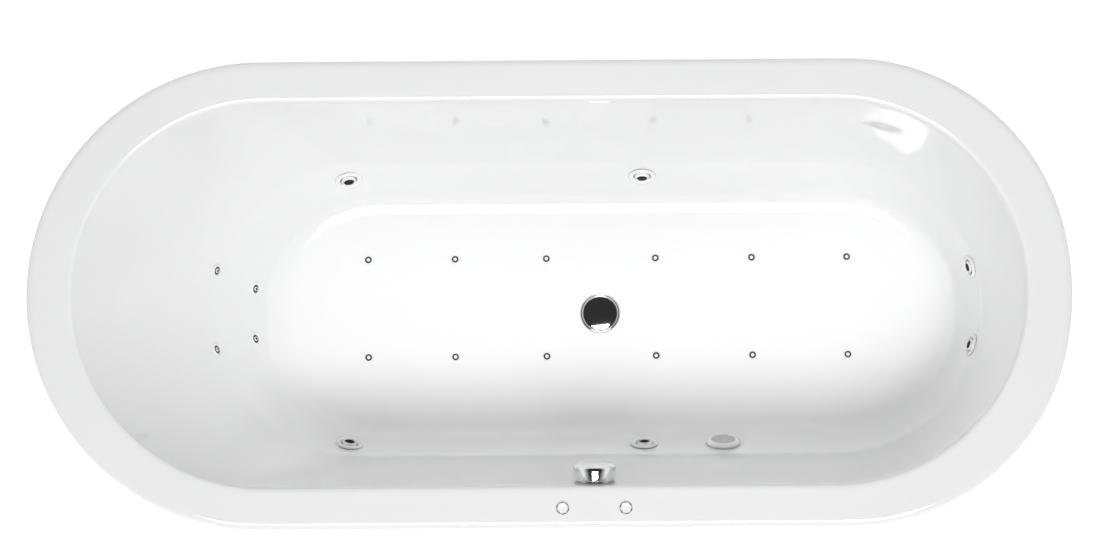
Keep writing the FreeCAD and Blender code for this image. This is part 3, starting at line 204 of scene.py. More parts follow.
def foot_jets():
    return [wall_frame("foot", y, sizes().foot_jet_height) for y in FOOT_JETS_Y]


def back_jets():
    return [wall_frame("head", y, z) for y, z in BACK_JETS_YZ]


def air_jets():
    return [spot(x, y, sizes().floor_level) for y in AIR_ROWS_Y for x in AIR_JETS_X]


def suction_place():
    return wall_frame("front", SUCTION_X, sizes().suction_height)


def overflow_place():
    return wall_frame("front", OVERFLOW_X, sizes().overflow_height)


def drain_place():
    return spot(sizes().drain_x, 0, sizes().floor_level)


def button_places():
    return [spot(x, BUTTONS_Y, sizes().rim_height) for x in BUTTONS_X]


def soften(bm, sharp=35):
    """Marks as smooth the edges that turn less than an angle in degrees."""
    for edge in bm.edges:
        if len(edge.link_faces) == 2:
            edge.smooth = edge.calc_face_angle(0) < math.radians(sharp)


def put(name, data):
    """An object with some data, in the scene."""
    thing = bpy.data.objects.new(name, data)
    bpy.context.scene.collection.objects.link(thing)
    return thing


def mesh_of(bm, name="part"):
    """A bmesh made into a mesh and freed."""
    mesh = bpy.data.meshes.new(name)
    bm.to_mesh(mesh)
    bm.free()
    return mesh


def detail(name, bm, looks, slot, sharp=40, body="tub"):
    """Turns a bmesh into a piece of the object that rides on a body.

    Looks are its finishes by name, and edges that turn more than sharp degrees stay crisp.
    """
    soften(bm, sharp)
    for face in bm.faces:
        face.smooth = True
    thing = put(name, mesh_of(bm, name))
    for look in looks.split():
        thing.data.materials.append(MATERIALS[look])
    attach(thing, body)
    return thing


def fitting(name, bm, looks, node, *others, sharp=40, body="tub"):
    """A piece that stands in for a CAD node, and for others of its kind."""
    thing = detail(name, bm, looks, node, sharp, body)
    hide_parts(node, *others)
    return thing


def turned(profile, steps=64):
    """A solid turned about Z from points of (radius, height) in millimetres.

    Points with a third number are rounded by it.
    """
    bm = bmesh.new()
    verts = [bm.verts.new((p[0] / 1000, 0, p[1] / 1000)) for p in profile]
    for a, b in zip(verts, verts[1:] + verts[:1]):
        bm.edges.new((a, b))
    for vert, p in zip(verts, profile):
        if len(p) > 2 and p[0] > 0:
            bmesh.ops.bevel(bm, geom=[vert], offset=p[2] / 1000, affect="VERTICES", segments=4,
                            profile=0.5, material=-1, offset_type="OFFSET")
    bmesh.ops.spin(bm, geom=bm.verts[:] + bm.edges[:], cent=(0, 0, 0), axis=(0, 0, 1),
                   angle=2 * math.pi, steps=steps, use_merge=True)
    bmesh.ops.remove_doubles(bm, verts=bm.verts[:], dist=1e-6)
    bmesh.ops.recalc_face_normals(bm, faces=bm.faces[:])
    wires = [e for e in bm.edges if not e.link_faces]
    bmesh.ops.delete(bm, geom=wires, context="EDGES")
    return bm


def paint(bm, test):
    """Gives the second material to the faces whose middle and normal pass a test."""
    for face in bm.faces:
        if test(face.calc_center_median(), face.normal):
            face.material_index = 1


def paint_all(bm):
    """Gives the second material to every face."""
    paint(bm, lambda at, way: True)
    return bm


def placed(bm, matrix):
    """Moves a bmesh by a matrix and hands it on."""
    bmesh.ops.transform(bm, matrix=matrix, verts=bm.verts[:])
    return bm


def joined(parts):
    """One bmesh of several."""
    whole = bmesh.new()
    for part in parts:
        mesh = mesh_of(part)
        whole.from_mesh(mesh)
        bpy.data.meshes.remove(mesh)
    return whole


def repeated(bm, matrices):
    """One bmesh of copies of another."""
    return joined([placed(bm.copy(), m) for m in matrices])


def rounded(bm, edges, offset):
    """Takes the sharpness off some edges and hands the bmesh on."""
    bmesh.ops.bevel(bm, geom=edges, offset=offset, affect="EDGES", segments=2, profile=0.5,
                    material=-1)
    return bm


def block(size, place, bevel=0.0):
    """A box by its size and middle, with rounded edges."""
    bm = bmesh.new()
    bmesh.ops.create_cube(bm, size=1)
    bmesh.ops.scale(bm, verts=bm.verts[:], vec=size)
    if bevel:
        rounded(bm, bm.edges[:], bevel)
    return placed(bm, spot(*place))


def prism(sides, radius, height):
    """An upright prism with its middle on its frame."""
    bm = bmesh.new()
    bmesh.ops.create_cone(bm, cap_ends=True, segments=sides, radius1=radius, radius2=radius,
                          depth=height)
    return bm


def hexagon(radius, height):
    """A six-sided head or nut, standing on its frame, with softened edges."""
    bm = placed(prism(6, radius, height), spot(0, 0, height / 2))
    return rounded(bm, bm.edges[:], height * 0.09)


def carve(thing, bm):
    """Cuts a piece with a bmesh, and makes its modifiers and the cut into its mesh."""
    mesh = mesh_of(bm)
    tool = put("cutter", mesh)
    cut = thing.modifiers.new("cut", "BOOLEAN")
    cut.object = tool
    cut.operation = "DIFFERENCE"
    cut.solver = "EXACT"
    bpy.context.view_layer.update()
    graph = bpy.context.evaluated_depsgraph_get()
    old, thing.data = thing.data, bpy.data.meshes.new_from_object(thing.evaluated_get(graph))
    thing.modifiers.clear()
    bpy.data.objects.remove(tool)
    bpy.data.meshes.remove(mesh)
    bpy.data.meshes.remove(old)
    bm = bmesh.new()
    bm.from_mesh(thing.data)
    soften(bm)
    bm.to_mesh(thing.data)
    bm.free()


# ---- materials -----------------------------------------------------------------------------


def new_group(name, output, kind, **inputs):
    """A node group with one output. Its inputs are numbers, or colours where they are None."""
    group = bpy.data.node_groups.new(name, "ShaderNodeTree")
    for label, default in inputs.items():
        socket_type = "NodeSocketColor" if default is None else "NodeSocketFloat"
        socket = group.interface.new_socket(label, in_out="INPUT", socket_type=socket_type)
        if default is not None:
            socket.default_value = default
    group.interface.new_socket(output, in_out="OUTPUT", socket_type="NodeSocket" + kind)
    start = group.nodes.new("NodeGroupInput").outputs
    end = group.nodes.new("NodeGroupOutput").inputs
    return group, start, end[output]


def wired(tree, node, links):
    """Sets or links a node's inputs, found by name or number."""
    for socket, source in links.items():
        if isinstance(source, bpy.types.NodeSocket):
            tree.links.new(source, node.inputs[socket])
        else:
            node.inputs[socket].default_value = source
    return node


def add(tree, kind, links=None, **values):
    """A shader node with its properties and inputs set."""
    node = tree.nodes.new("ShaderNode" + kind)
    for name, setting in values.items():
        setattr(node, name, setting)
    return wired(tree, node, links or {})


def maths(tree, operation, first, second):
    return add(tree, "Math", {0: first, 1: second}, operation=operation).outputs[0]


def raised(tree, strength, depth, height):
    """A normal from a height."""
    links = {"Strength": strength, "Distance": depth, "Height": height}
    return add(tree, "Bump", links).outputs[0]


def object_point(tree):
    return add(tree, "TexCoord").outputs["Object"]


def noise_value(tree, point, scale, detail=4.0, roughness=0.55):
    links = {"Vector": point, "Scale": scale, "Detail": detail, "Roughness": roughness}
    return add(tree, "TexNoise", links).outputs["Fac"]


def mapped(tree, source, low, high, start=0.3, end=0.7):
    """A value that goes from low to high while its source goes from start to end."""
    links = {"Value": source, "From Min": start, "From Max": end, "To Min": low, "To Max": high}
    return add(tree, "MapRange", links).outputs["Result"]


def mixed(tree, share, first, second):
    """One colour turning into another by a share."""
    node = add(tree, "Mix", data_type="RGBA")
    return wired(tree, node, {0: share, 6: first, 7: second}).outputs[2]


@cache
def cloudy_tint_group():
    """Two colours that drift into each other over the surface."""
    group, start, end = new_group("cloudy_tint", "Color", "Color", Light=None, Deep=None,
                                  Scale=8.0)
    share = mapped(group, noise_value(group, object_point(group), start["Scale"]), 0, 1)
    group.links.new(mixed(group, share, start["Light"], start["Deep"]), end)
    return group


@cache
def uneven_gloss_group():
    """A roughness that varies in patches, with fine wiping marks."""
    group, start, end = new_group("uneven_gloss", "Roughness", "Float", Low=0.2, High=0.3,
                                  Scale=10.0)
    point = object_point(group)
    patches = noise_value(group, point, start["Scale"])
    marks = add(group, "Mapping", {"Vector": point, "Scale": (30, 260, 90)})
    lines = noise_value(group, marks.outputs[0], 1.0, 2.0)
    both = maths(group, "ADD", patches, mapped(group, lines, -0.08, 0.08))
    group.links.new(mapped(group, both, start["Low"], start["High"]), end)
    return group


@cache
def fine_grain_group():
    """A fine raised grain."""
    group, start, end = new_group("fine_grain", "Normal", "Vector", Scale=300.0, Strength=0.1,
                                  Depth=0.0005)
    height = noise_value(group, object_point(group), start["Scale"], 3.0)
    group.links.new(raised(group, start["Strength"], start["Depth"], height), end)
    return group


@cache
def settled_dust_group():
    """A thin dust on faces that look up, thicker in patches."""
    group, start, end = new_group("settled_dust", "Color", "Color", Color=None, Dust=None,
                                  Amount=0.3)
    normal = add(group, "NewGeometry").outputs["Normal"]
    height = add(group, "SeparateXYZ", {0: normal}).outputs[2]
    facing = mapped(group, height, 0, 1, 0.3, 1.0)
    patches = mapped(group, noise_value(group, object_point(group), 25.0), 0.3, 1)
    share = maths(group, "MULTIPLY", maths(group, "MULTIPLY", facing, patches), start["Amount"])
    group.links.new(mixed(group, share, start["Color"], start["Dust"]), end)
    return group


def use_group(tree, group, links):
    return add(tree, "Group", links, node_tree=group).outputs[0]


def shade(colour, factor):
    """A colour made lighter or darker, with full alpha."""
    return tuple(min(1, c * factor) for c in colour) + (1,)


def new_material(name):
    material = bpy.data.materials.new(name)
    material.use_nodes = True
    shader = material.node_tree.nodes["Principled BSDF"]
    return material, material.node_tree, shader


def finish(name, colour, deep=0.93, tint_scale=8.0, gloss=(0.2, 0.3), gloss_scale=12.0,
           grain=(400.0, 0.05, 0.0004), dust=0.0, **constants):
    """A material whose tint, gloss and grain vary over the surface."""
    material, tree, shader = new_material(name)
    links = {"Light": shade(colour, 1), "Deep": shade(colour, deep), "Scale": tint_scale}
    tint = use_group(tree, cloudy_tint_group(), links)
    if dust:
        links = {"Color": tint, "Dust": (0.45, 0.43, 0.39, 1), "Amount": dust}
        tint = use_group(tree, settled_dust_group(), links)
    links = {"Low": gloss[0], "High": gloss[1], "Scale": gloss_scale}
    rough = use_group(tree, uneven_gloss_group(), links)
    links = {"Scale": grain[0], "Strength": grain[1], "Depth": grain[2]}
    normal = use_group(tree, fine_grain_group(), links)
    wired(tree, shader, {"Base Color": tint, "Roughness": rough, "Normal": normal})
    wired(tree, shader, {name.replace("_", " "): each for name, each in constants.items()})
    return material


def cells(tree, point, scale, channel=0):
    """A random value in each cell of a pattern, and the distance from the cell's middle."""
    pattern = add(tree, "TexVoronoi", {"Vector": point, "Scale": scale}).outputs
    values = add(tree, "SeparateColor", {0: pattern["Color"]}).outputs
    return values[channel], pattern["Distance"]


def laminate_material():
    """Chopped glass strands in resin, hand-rolled and uneven."""
    material, tree, shader = new_material("glass_laminate")
    point = object_point(tree)
    base = colours().laminate
    lines = []
    for turn in (0.3, 1.4, 2.5):
        links = {"Vector": point, "Rotation": (turn, turn * 0.7, turn), "Scale": (40, 900, 900)}
        lay = add(tree, "Mapping", links).outputs[0]
        lines.append(mapped(tree, noise_value(tree, lay, 1.0, 1.0), 0, 1, 0.52, 0.64))
    strands = maths(tree, "MAXIMUM", maths(tree, "MAXIMUM", lines[0], lines[1]), lines[2])
    patches = mapped(tree, noise_value(tree, point, 9.0), 0, 1)
    resin = mixed(tree, patches, shade(base, 0.82), shade(base, 1.0))
    colour = mixed(tree, strands, resin, shade(base, 1.25))
    rolled = maths(tree, "ADD", noise_value(tree, point, 60.0), strands)
    wired(tree, shader, {"Base Color": colour, "Roughness": mapped(tree, strands, 0.35, 0.6, 0, 1),
                         "Normal": raised(tree, 0.5, 0.0012, rolled)})
    return material


def chipboard_material():
    """Pressed wood chips with a rough sawn look."""
    material, tree, shader = new_material("chipboard")
    point = object_point(tree)
    base = colours().board
    chips, depth = cells(tree, point, 210.0)
    flakes, _ = cells(tree, point, 90.0, 1)
    colour = mixed(tree, chips, shade(base, 0.75), shade(base, 1.35))
    colour = mixed(tree, mapped(tree, flakes, 0, 0.6, 0.6, 1.0), colour, shade(base, 1.7))
    wired(tree, shader, {"Base Color": colour, "Roughness": mapped(tree, chips, 0.6, 0.8, 0, 1),
                         "Normal": raised(tree, 0.4, 0.0005, depth)})
    return material


def zinc_material():
    """Galvanised steel with its spangle."""
    material, tree, shader = new_material("galvanised_steel")
    point = object_point(tree)
    base = colours().zinc
    spangle, _ = cells(tree, point, 120.0)
    colour = mixed(tree, spangle, shade(base, 0.85), shade(base, 1.15))
    stain = mapped(tree, noise_value(tree, point, 18.0), 0, 0.5, 0.5, 0.75)
    colour = mixed(tree, stain, colour, (0.7, 0.7, 0.68, 1))
    wired(tree, shader, {"Base Color": colour, "Metallic": 0.85,
                         "Roughness": mapped(tree, spangle, 0.32, 0.5, 0, 1),
                         "Normal": raised(tree, 0.15, 0.0003, spangle)})
    return material


MATERIALS = {}


def make_materials():
    """Every finish: its colour, deeper tint, gloss, grain and dust."""
    tint = colours()
    MATERIALS.update({
        "acrylic": finish("white_acrylic", tint.acrylic, 0.985, 3.0, (0.05, 0.09), 5.0,
                          (900.0, 0.02, 0.0001), Coat_Weight=0.6, Coat_Roughness=0.03,
                          IOR=1.5),
        "white": finish("white_fittings", tint.fitting, 0.97, 30.0, (0.1, 0.18), 40.0,
                        (1500.0, 0.03, 0.0001), IOR=1.5),
        "chrome": finish("plated_chrome", tint.metal, 0.97, 20.0, (0.04, 0.09), 30.0,
                         (900.0, 0.01, 0.0001), Metallic=1.0),
        "steel": finish("plated_steel", (0.5, 0.5, 0.47), 0.85, 60.0, (0.25, 0.4), 80.0,
                        (800.0, 0.1, 0.0002), dust=0.15, Metallic=1.0),
        "brass": finish("cast_brass", (0.62, 0.45, 0.2), 0.8, 50.0, (0.3, 0.45), 60.0,
                        (500.0, 0.25, 0.0004), Metallic=1.0),
        "black": finish("black_plastic", (0.025, 0.026, 0.028), 0.7, 40.0, (0.35, 0.5), 30.0,
                        (900.0, 0.25, 0.0003), dust=0.12),
        # The dark material is painted shade, put into bores, grooves, slots and openings of the
        # fittings and machines.
        "dark": finish("painted_cavity_shade", (0.03, 0.03, 0.032), 0.8, 60.0, (0.5, 0.7), 60.0),
        "rubber": finish("rubber", (0.022, 0.022, 0.022), 0.75, 50.0, (0.6, 0.8), 40.0,
                         (1200.0, 0.3, 0.0002), dust=0.1),
        "pvc": finish("white_pvc", tint.pvc, 0.93, 15.0, (0.28, 0.42), 25.0,
                      (700.0, 0.08, 0.0003), dust=0.2),
        "grey": finish("grey_pipe", (0.2, 0.21, 0.22), 0.88, 20.0, (0.3, 0.45), 25.0,
                       (700.0, 0.1, 0.0003), dust=0.2),
        "box": finish("box_plastic", (0.6, 0.6, 0.57), 0.95, 20.0, (0.4, 0.55), 25.0,
                      (1400.0, 0.2, 0.0002), dust=0.12),
        "motor": finish("motor_paint", (0.16, 0.18, 0.2), 0.85, 25.0, (0.3, 0.45), 30.0,
                        (600.0, 0.2, 0.0003), dust=0.25),
        "hose": finish("clear_vinyl", (0.6, 0.62, 0.6), 0.92, 40.0, (0.15, 0.25), 30.0,
                       Transmission_Weight=0.3, IOR=1.45),
        "laminate": laminate_material(),
        "chipboard": chipboard_material(),
        "zinc": zinc_material(),
    })


CAD_FINISH = {
    "chipboard": ("base_board", "equipment_shelf"),
    "zinc": ("support_frame",),
    "rubber": ("foot_pads", "side_jet_gaskets", "foot_jet_gaskets", "plug_seal", "drain_gasket",
               "pump_foot"),
    "steel": ("foot_studs", "foot_lock_nuts"),
    "pvc": ("side_jet_bodies", "foot_jet_bodies", "back_jet_bodies", "suction_body",
            "waste_trap", "pressure_header", "pressure_pipe_back", "pressure_pipe_front",
            "pressure_pipe_foot", "suction_pipe"),
    "white": ("suction_flange",),
    "chrome": ("drain_strainer",),
    "brass": ("drain_body",),
    "black": ("overflow_body", "waste_cable", "button_bodies", "air_jet_bodies",
              "pump_wet_end", "pump_fan_cover", "air_blower"),
    "grey": ("overflow_pipe", "air_manifold", "air_supply_hose", "mains_gland"),
    "motor": ("pump_motor",),
    "box": ("control_box",),
    "hose": ("back_jet_hoses", "button_tubes"),
}


class TUB_OT_finishes(bpy.types.Operator):
    """Makes every finish and puts it on the frame, pipes and machines."""

    bl_idname = "tub.finishes"
    bl_label = "Finishes"

    def execute(self, context):
        make_materials()
        for name, nodes in CAD_FINISH.items():
            for node in nodes:
                for slot in NODES[node].material_slots:
                    slot.material = MATERIALS[name]
        return {"FINISHED"}


# ---- tub -----------------------------------------------------------------------------------

AROUND = 64
RUN_CUTS = 15


class Ring:
    """A loop of the tub's shell, pulled from oval to oval."""

    def __init__(self, bm, half, head, foot, height):
        made = bmesh.ops.create_circle(bm, cap_ends=False, radius=half, segments=AROUND)
        turn = Matrix.Rotation(math.pi / AROUND, 3, "Z")
        bmesh.ops.rotate(bm, verts=made["verts"], cent=(0, 0, 0), matrix=turn)
        self.bm = bm
        self.verts = made["verts"]
        self.edges = bm.edges[:]
        self.at_foot = [v.co.x > 0 for v in self.verts]
        self.way = [v.co.normalized() for v in self.verts]
        self.place(half, head, foot, height)

    def place(self, half, head, foot, height):
        for vert, foot_side, way in zip(self.verts, self.at_foot, self.way):
            middle = foot - half if foot_side else half - head
            vert.co = Vector((middle + way.x * half, way.y * half, height))

    def place_on_rim(self, inset, height):
        """Puts the loop on the rim's outline, drawn in by an inset."""
        size = sizes()
        middle = size.rim_tip - size.rim_half
        apart = size.foot_tip_radius - size.foot_shoulder_radius
        lift = size.rim_half - size.foot_shoulder_radius
        tip_x = size.rim_tip - size.foot_tip_radius
        shoulder_x = tip_x + math.sqrt(apart**2 - lift**2)
        for vert, foot_side, way in zip(self.verts, self.at_foot, self.way):
            if not foot_side:
                half = size.rim_half - inset
                vert.co = Vector((-middle + way.x * half, way.y * half, height))
                continue
            start = Vector((shoulder_x, 0))
            side = math.copysign(lift, way.y)
            direction = Vector((way.x, way.y))
            hit = start + direction * ray_to_circle(
                start, direction, Vector((shoulder_x, side)), size.foot_shoulder_radius - inset)
            bound = Vector((shoulder_x - tip_x, side)).normalized() * (
                size.foot_tip_radius - inset)
            if abs(hit.y) < abs(bound.y):
                hit = start + direction * ray_to_circle(
                    start, direction, Vector((tip_x, 0)), size.foot_tip_radius - inset)
            vert.co = Vector((hit.x, hit.y, height))

    def pull(self, material=0):
        """Extrudes the loop; the caller then places it."""
        made = bmesh.ops.extrude_edge_only(self.bm, edges=self.edges)["geom"]
        new = {g for g in made if isinstance(g, bmesh.types.BMVert)}
        for g in made:
            if isinstance(g, bmesh.types.BMFace):
                g.material_index = material
        self.verts = [next(e.other_vert(v) for e in v.link_edges if e.other_vert(v) in new)
                      for v in self.verts]
        self.edges = [g for g in made
                      if isinstance(g, bmesh.types.BMEdge) and new.issuperset(g.verts)]


def ray_to_circle(start, direction, centre, radius):
    """How far a ray from inside a circle runs before it leaves it."""
    offset = start - centre
    b = offset.dot(direction)
    return -b + math.sqrt(b * b - offset.length_squared + radius**2)


def grown(section, out, lift=0.0):
    """A ring's half width, reaches and height from an oval moved out and up."""
    height, half, head, foot = section
    return half + out, head + out, foot + out, height + lift


def shell_mesh():
    """The tub's acrylic skin as one closed surface of quads."""
    size = sizes()
    skin = size.skin
    bm = bmesh.new()
    floor = size.floor_level
    ring = Ring(bm, 0.095, 0.393, 0.61, floor)
    inner = [
        (0.122, 0.42, 0.637, floor),
        (0.150, 0.448, 0.665, floor + 0.0008), (0.178, 0.476, 0.693, floor + 0.0035),
        (0.198, 0.496, 0.713, floor + 0.0085), (0.2115, 0.509, 0.726, floor + 0.0155),
        (0.2195, 0.5175, 0.7335, floor + 0.0255),
        *(grown(section_at(z), 0) for z in (0.215, 0.245, 0.275)),
        *(grown(section_at(z), 0.0004) for z in (0.288, 0.302)),
        *(grown(section_at(z), 0) for z in (0.34, 0.42, 0.5, 0.56, 0.583)),
        *(grown(OPENING, out, lift) for out, lift in
          ((0.0002, 0), (0.0022, 0.0048), (0.006, 0.0074), (0.0105, 0.008), (0.02, 0.008))),
    ]
    for place in inner:
        ring.pull()
        ring.place(*place)
    top = size.rim_height
    low = top - size.rim_skirt
    rim = [(0.03, top, 0), (0.014, top, 0), (0.0085, top - 0.0003, 0),
           (0.0028, top - 0.0024, 0), (0.0003, top - 0.008, 0), (0, top - 0.012, 0),
           (0, low + 0.004, 0), (0.0003, low + 0.001, 0), (0.0015, low, 0), (0.0065, low, 1),
           (skin, low + 0.0015, 1), (skin, low + 0.006, 1), (skin + 0.0005, top - 0.018, 1),
           (skin + 0.004, top - 0.011, 1), (skin + 0.012, top - skin, 1)]
    for inset, height, material in rim:
        ring.pull(material)
        ring.place_on_rim(inset, height)
    under = [
        grown(OPENING, 0.022), grown(OPENING, skin + 0.006, -0.003),
        grown(OPENING, skin + 0.001, -0.012),
        *(grown(section_at(z), skin) for z in (0.55, 0.45, 0.35, FLARE[0], 0.24, 0.2)),
        (0.2235, 0.521, 0.738, floor + 0.008), (0.212, 0.51, 0.727, floor + 0.0005),
        (0.19, 0.488, 0.705, floor - 0.0055), (0.16, 0.458, 0.675, floor - 0.0078),
        (0.122, 0.42, 0.637, floor - skin), (0.095, 0.393, 0.61, floor - skin),
    ]
    for place in under:
        ring.pull(1)
        ring.place(*place)
    long_runs = [e for e in bm.edges if e.calc_length() > 0.2
                 and abs(e.verts[0].co.y - e.verts[1].co.y) < 0.01]
    bmesh.ops.subdivide_edges(bm, edges=long_runs, cuts=RUN_CUTS, use_grid_fill=True)
    for material, level in ((0, floor), (1, floor - skin)):
        runs = [e for e in bm.edges if e.is_boundary and abs(e.verts[0].co.z - level) < 1e-5
                and abs(e.verts[0].co.y - e.verts[1].co.y) < 1e-6]
        bmesh.ops.grid_fill(bm, edges=runs, mat_nr=material, use_smooth=True)
    bmesh.ops.recalc_face_normals(bm, faces=bm.faces[:])
    return bm


class TUB_OT_shell(bpy.types.Operator):
    """The acrylic tub: rim, basin and floor, drilled for its fittings."""

    bl_idname = "tub.shell"
    bl_label = "Tub shell"

    def execute(self, context):
        thing = fitting("tub_acrylic", shell_mesh(), "acrylic laminate", "tub_shell", sharp=180)
        smooth = thing.modifiers.new("smooth", "SUBSURF")
        smooth.levels = smooth.render_levels = 2
        holes = ((0.0178, side_jets()), (0.0158, foot_jets()), (0.0093, back_jets()),
                 (0.0253, [suction_place()]), (0.0233, [overflow_place()]),
                 (0.0293, [drain_place()]), (0.0118, button_places()))
        carve(thing, joined([repeated(prism(48, radius, 0.06), places)
                             for radius, places in holes]))
        return {"FINISHED"}


# ---- fittings ------------------------------------------------------------------------------


class TUB_OT_wall_jets(bpy.types.Operator):
    """Rings of the side and foot jets."""

    bl_idname = "tub.wall_jets"
    bl_label = "Wall jet rings"

    def execute(self, context):
        kinds = ((24.5, 14.5, side_jets()), (20.5, 12.5, foot_jets()))
        rings = []
        for radius, seat, places in kinds:
            ring = turned([(seat, -20), (seat + 3, -20), (seat + 3, 1.5), (radius, 1.5, 0.3),
                           (radius - 0.6, 3.9, 0.8), (radius - 4.2, 5.6, 1.4),
                           (seat + 2.2, 4.6, 1.2), (seat, 1.4, 0.8)], 72)
            rings.append(repeated(ring, places))
        fitting("wall_jet_rings", joined(rings), "white", "side_jet_flanges", "foot_jet_flanges")
        return {"FINISHED"}


def nozzle_mesh(radius, seat):
    """An eyeball nozzle in millimetres: a ball with a lipped outlet and a bore in painted shade.
    """
    middle = -2.5
    ball = seat - 0.35
    outlet = radius * 0.6
    points = [(outlet, middle - ball * 0.72, 0.3)]
    for turn in range(-44, 46, 8):
        angle = math.radians(turn)
        points.append((ball * math.cos(angle), middle + ball * math.sin(angle)))
    points += [(radius * 0.88, middle + ball * 0.72), (radius * 0.86, middle + 8.4, 0.7),
               (radius * 0.86 - 1.2, middle + 8.8, 0.5), (radius * 0.86 - 1.8, middle + 6, 0.5),
               (outlet, middle + 4, 0.4)]
    ring = turned(points, 56)
    top = (middle + 8.9) / 1000

    def in_bore(at, way):
        return way.x * at.x + way.y * at.y < -0.2 * math.hypot(at.x, at.y)

    def on_ball(at, way):
        return at.z < (middle + 5) / 1000

    # Painted shade: the bore below its lip and the ball's surface low in the seat take the dark
    # material.
    paint(ring, lambda at, way: at.z < top - 0.0006 and in_bore(at, way) or on_ball(at, way))
    # A disc inside the outlet, all in the dark material: painted shade deep in the bore.
    plate = turned([(0, middle + 1), (outlet + 0.2, middle + 1), (outlet + 0.2, middle),
                    (0, middle)], 56)
    paint_all(plate)
    return joined([ring, plate])


class TUB_OT_nozzles(bpy.types.Operator):
    """The six eyeball nozzles, each on its own body."""

    bl_idname = "tub.nozzles"
    bl_label = "Eyeball nozzles"

    def execute(self, context):
        names = ("back_head", "back_foot", "front_head", "front_foot", "foot_left", "foot_right")
        places = side_jets() + foot_jets()
        for i, (name, place) in enumerate(zip(names, places)):
            bm = nozzle_mesh(12, 14.5) if i < 4 else nozzle_mesh(10, 12.5)
            fitting(f"eyeball_{name}", placed(bm, place), "white dark", f"jet_nozzle_{name}",
                    body=f"{name}_nozzle")
        return {"FINISHED"}


class TUB_OT_back_jets(bpy.types.Operator):
    """The four small jets in the sloping back."""

    bl_idname = "tub.back_jets"
    bl_label = "Back jets"

    def execute(self, context):
        ring = turned([(7, -22), (9, -22), (9, 1), (12.5, 1, 0.3), (12, 2.6, 0.6),
                       (10, 3.6, 1), (8, 2.6, 0.6), (7, 0.6, 0.4)], 56)
        fitting("back_jet_rings", repeated(ring, back_jets()), "white", "back_jet_flanges")
        core = turned([(1.8, -8), (4.0, -8), (4.0, 1.8), (3.6, 3.4, 0.6), (2.4, 3.2, 0.4),
                       (1.8, 1.8, 0.3)], 40)
        shadow = turned([(3.9, -3), (6.9, -3), (6.9, 1.2), (3.9, 1.2)], 40)
        paint_all(shadow)
        # Painted shade: the core's inward-facing faces low in its hole take the dark material, as
        # does the shadow ring.
        paint(core, lambda at, way: way.x * at.x + way.y * at.y < 0 and at.z < 0.003)
        fitting("back_jet_cores", repeated(joined([core, shadow]), back_jets()), "white dark",
                "back_jet_nozzles")
        return {"FINISHED"}


class TUB_OT_air_jets(bpy.types.Operator):
    """Twelve air caps in the floor, each with painted shade in the groove round its middle."""

    bl_idname = "tub.air_jets"
    bl_label = "Air jets"

    def execute(self, context):
        cap = turned([(0, 0.4), (8, 0.4), (8, 1.5, 0.5), (7.0, 2.6, 0.5), (6.1, 2.2, 0.3),
                      (5.8, 1.2), (3.3, 1.2), (3.0, 3.1, 0.5), (0, 3.6)], 48)
        # Painted shade: the bottom of the groove between the rim and the middle boss takes the
        # dark material.
        paint(cap, lambda at, way: 0.0031 < math.hypot(at.x, at.y) < 0.0061
              and 0.001 < at.z < 0.00225)
        fitting("air_caps", repeated(cap, air_jets()), "white dark", "air_jet_caps")
        return {"FINISHED"}


class TUB_OT_suction(bpy.types.Operator):
    """The slotted suction cover low on the front wall."""

    bl_idname = "tub.suction"
    bl_label = "Suction cover"

    def execute(self, context):
        cover = turned([(0, 5.4), (24, 4.4, 0.5), (25.4, 2.2), (31, 2.2, 0.4),
                        (30.4, 4.6, 0.8), (26.6, 7.4, 1.2), (22, 8.4, 1), (0, 9.4)], 96)
        pitch, slot_radius = 3.3, 21.5
        slots = []
        for i in range(-6, 7):
            reach = math.sqrt(slot_radius**2 - (pitch * i) ** 2) / 1000
            slots.append(block((2 * reach, 0.0013, 0.03), (0, pitch * i / 1000, 0.006)))
        place = suction_place()
        thing = fitting("suction_cover", placed(cover, place), "white dark", "suction_grille")
        # The slot blocks are all dark, so the slots' cut walls show painted shade.
        carve(thing, placed(paint_all(joined(slots)), place))
        return {"FINISHED"}


class TUB_OT_drain(bpy.types.Operator):
    """The pop-up plug and its flange."""

    bl_idname = "tub.drain"
    bl_label = "Drain"

    def execute(self, context):
        flange = turned([(26, -30), (29, -30), (29, 0.3), (36, 0.3, 0.2), (35.6, 1.5, 0.5),
                         (33.2, 2.5, 0.6), (30, 2.1, 0.6), (26, 0, 1)], 96)
        fitting("drain_ring", placed(flange, drain_place()), "chrome", "drain_flange")
        dome = [(32.5, 3.0, 0.3), (32.6, 4.4, 0.6)]
        for share in (0.93, 0.85, 0.72, 0.56, 0.38, 0.2):
            dome.append((32.5 * share, 9 - 4.0 * share**2.2))
        plug = turned([(0, -40), (4, -40), (4, -8), (8, -2.5), (23, -2.5), (23, 2.6, 0.4),
                       *dome, (0, 9)], 96)
        fitting("pop_up_dome", placed(plug, drain_place()), "chrome", "drain_plug",
                body="pop_up_plug")
        return {"FINISHED"}


class TUB_OT_overflow(bpy.types.Operator):
    """The turning overflow cap with its finger edge, on a flange."""

    bl_idname = "tub.overflow"
    bl_label = "Overflow"

    def execute(self, context):
        flange = turned([(20, -22), (23, -22), (23, 1.2), (33, 1.2, 0.3), (32.6, 3, 0.5),
                         (20, 3, 0.6)], 96)
        fitting("overflow_ring", placed(flange, overflow_place()), "chrome", "overflow_flange")
        knob = turned([(0, -43), (5, -43), (5, 6), (8, 26), (33.5, 26, 0.5), (33.5, 4, 0.4),
                       (36.5, 4, 0.4), (36.5, 21, 1), (36.1, 25.5, 2), (33.5, 29, 2.4),
                       (28, 30, 1), (0, 30.4)], 120)
        fitting("overflow_cap", placed(knob, overflow_place()), "chrome", "overflow_knob",
                body="overflow_control")
        return {"FINISHED"}


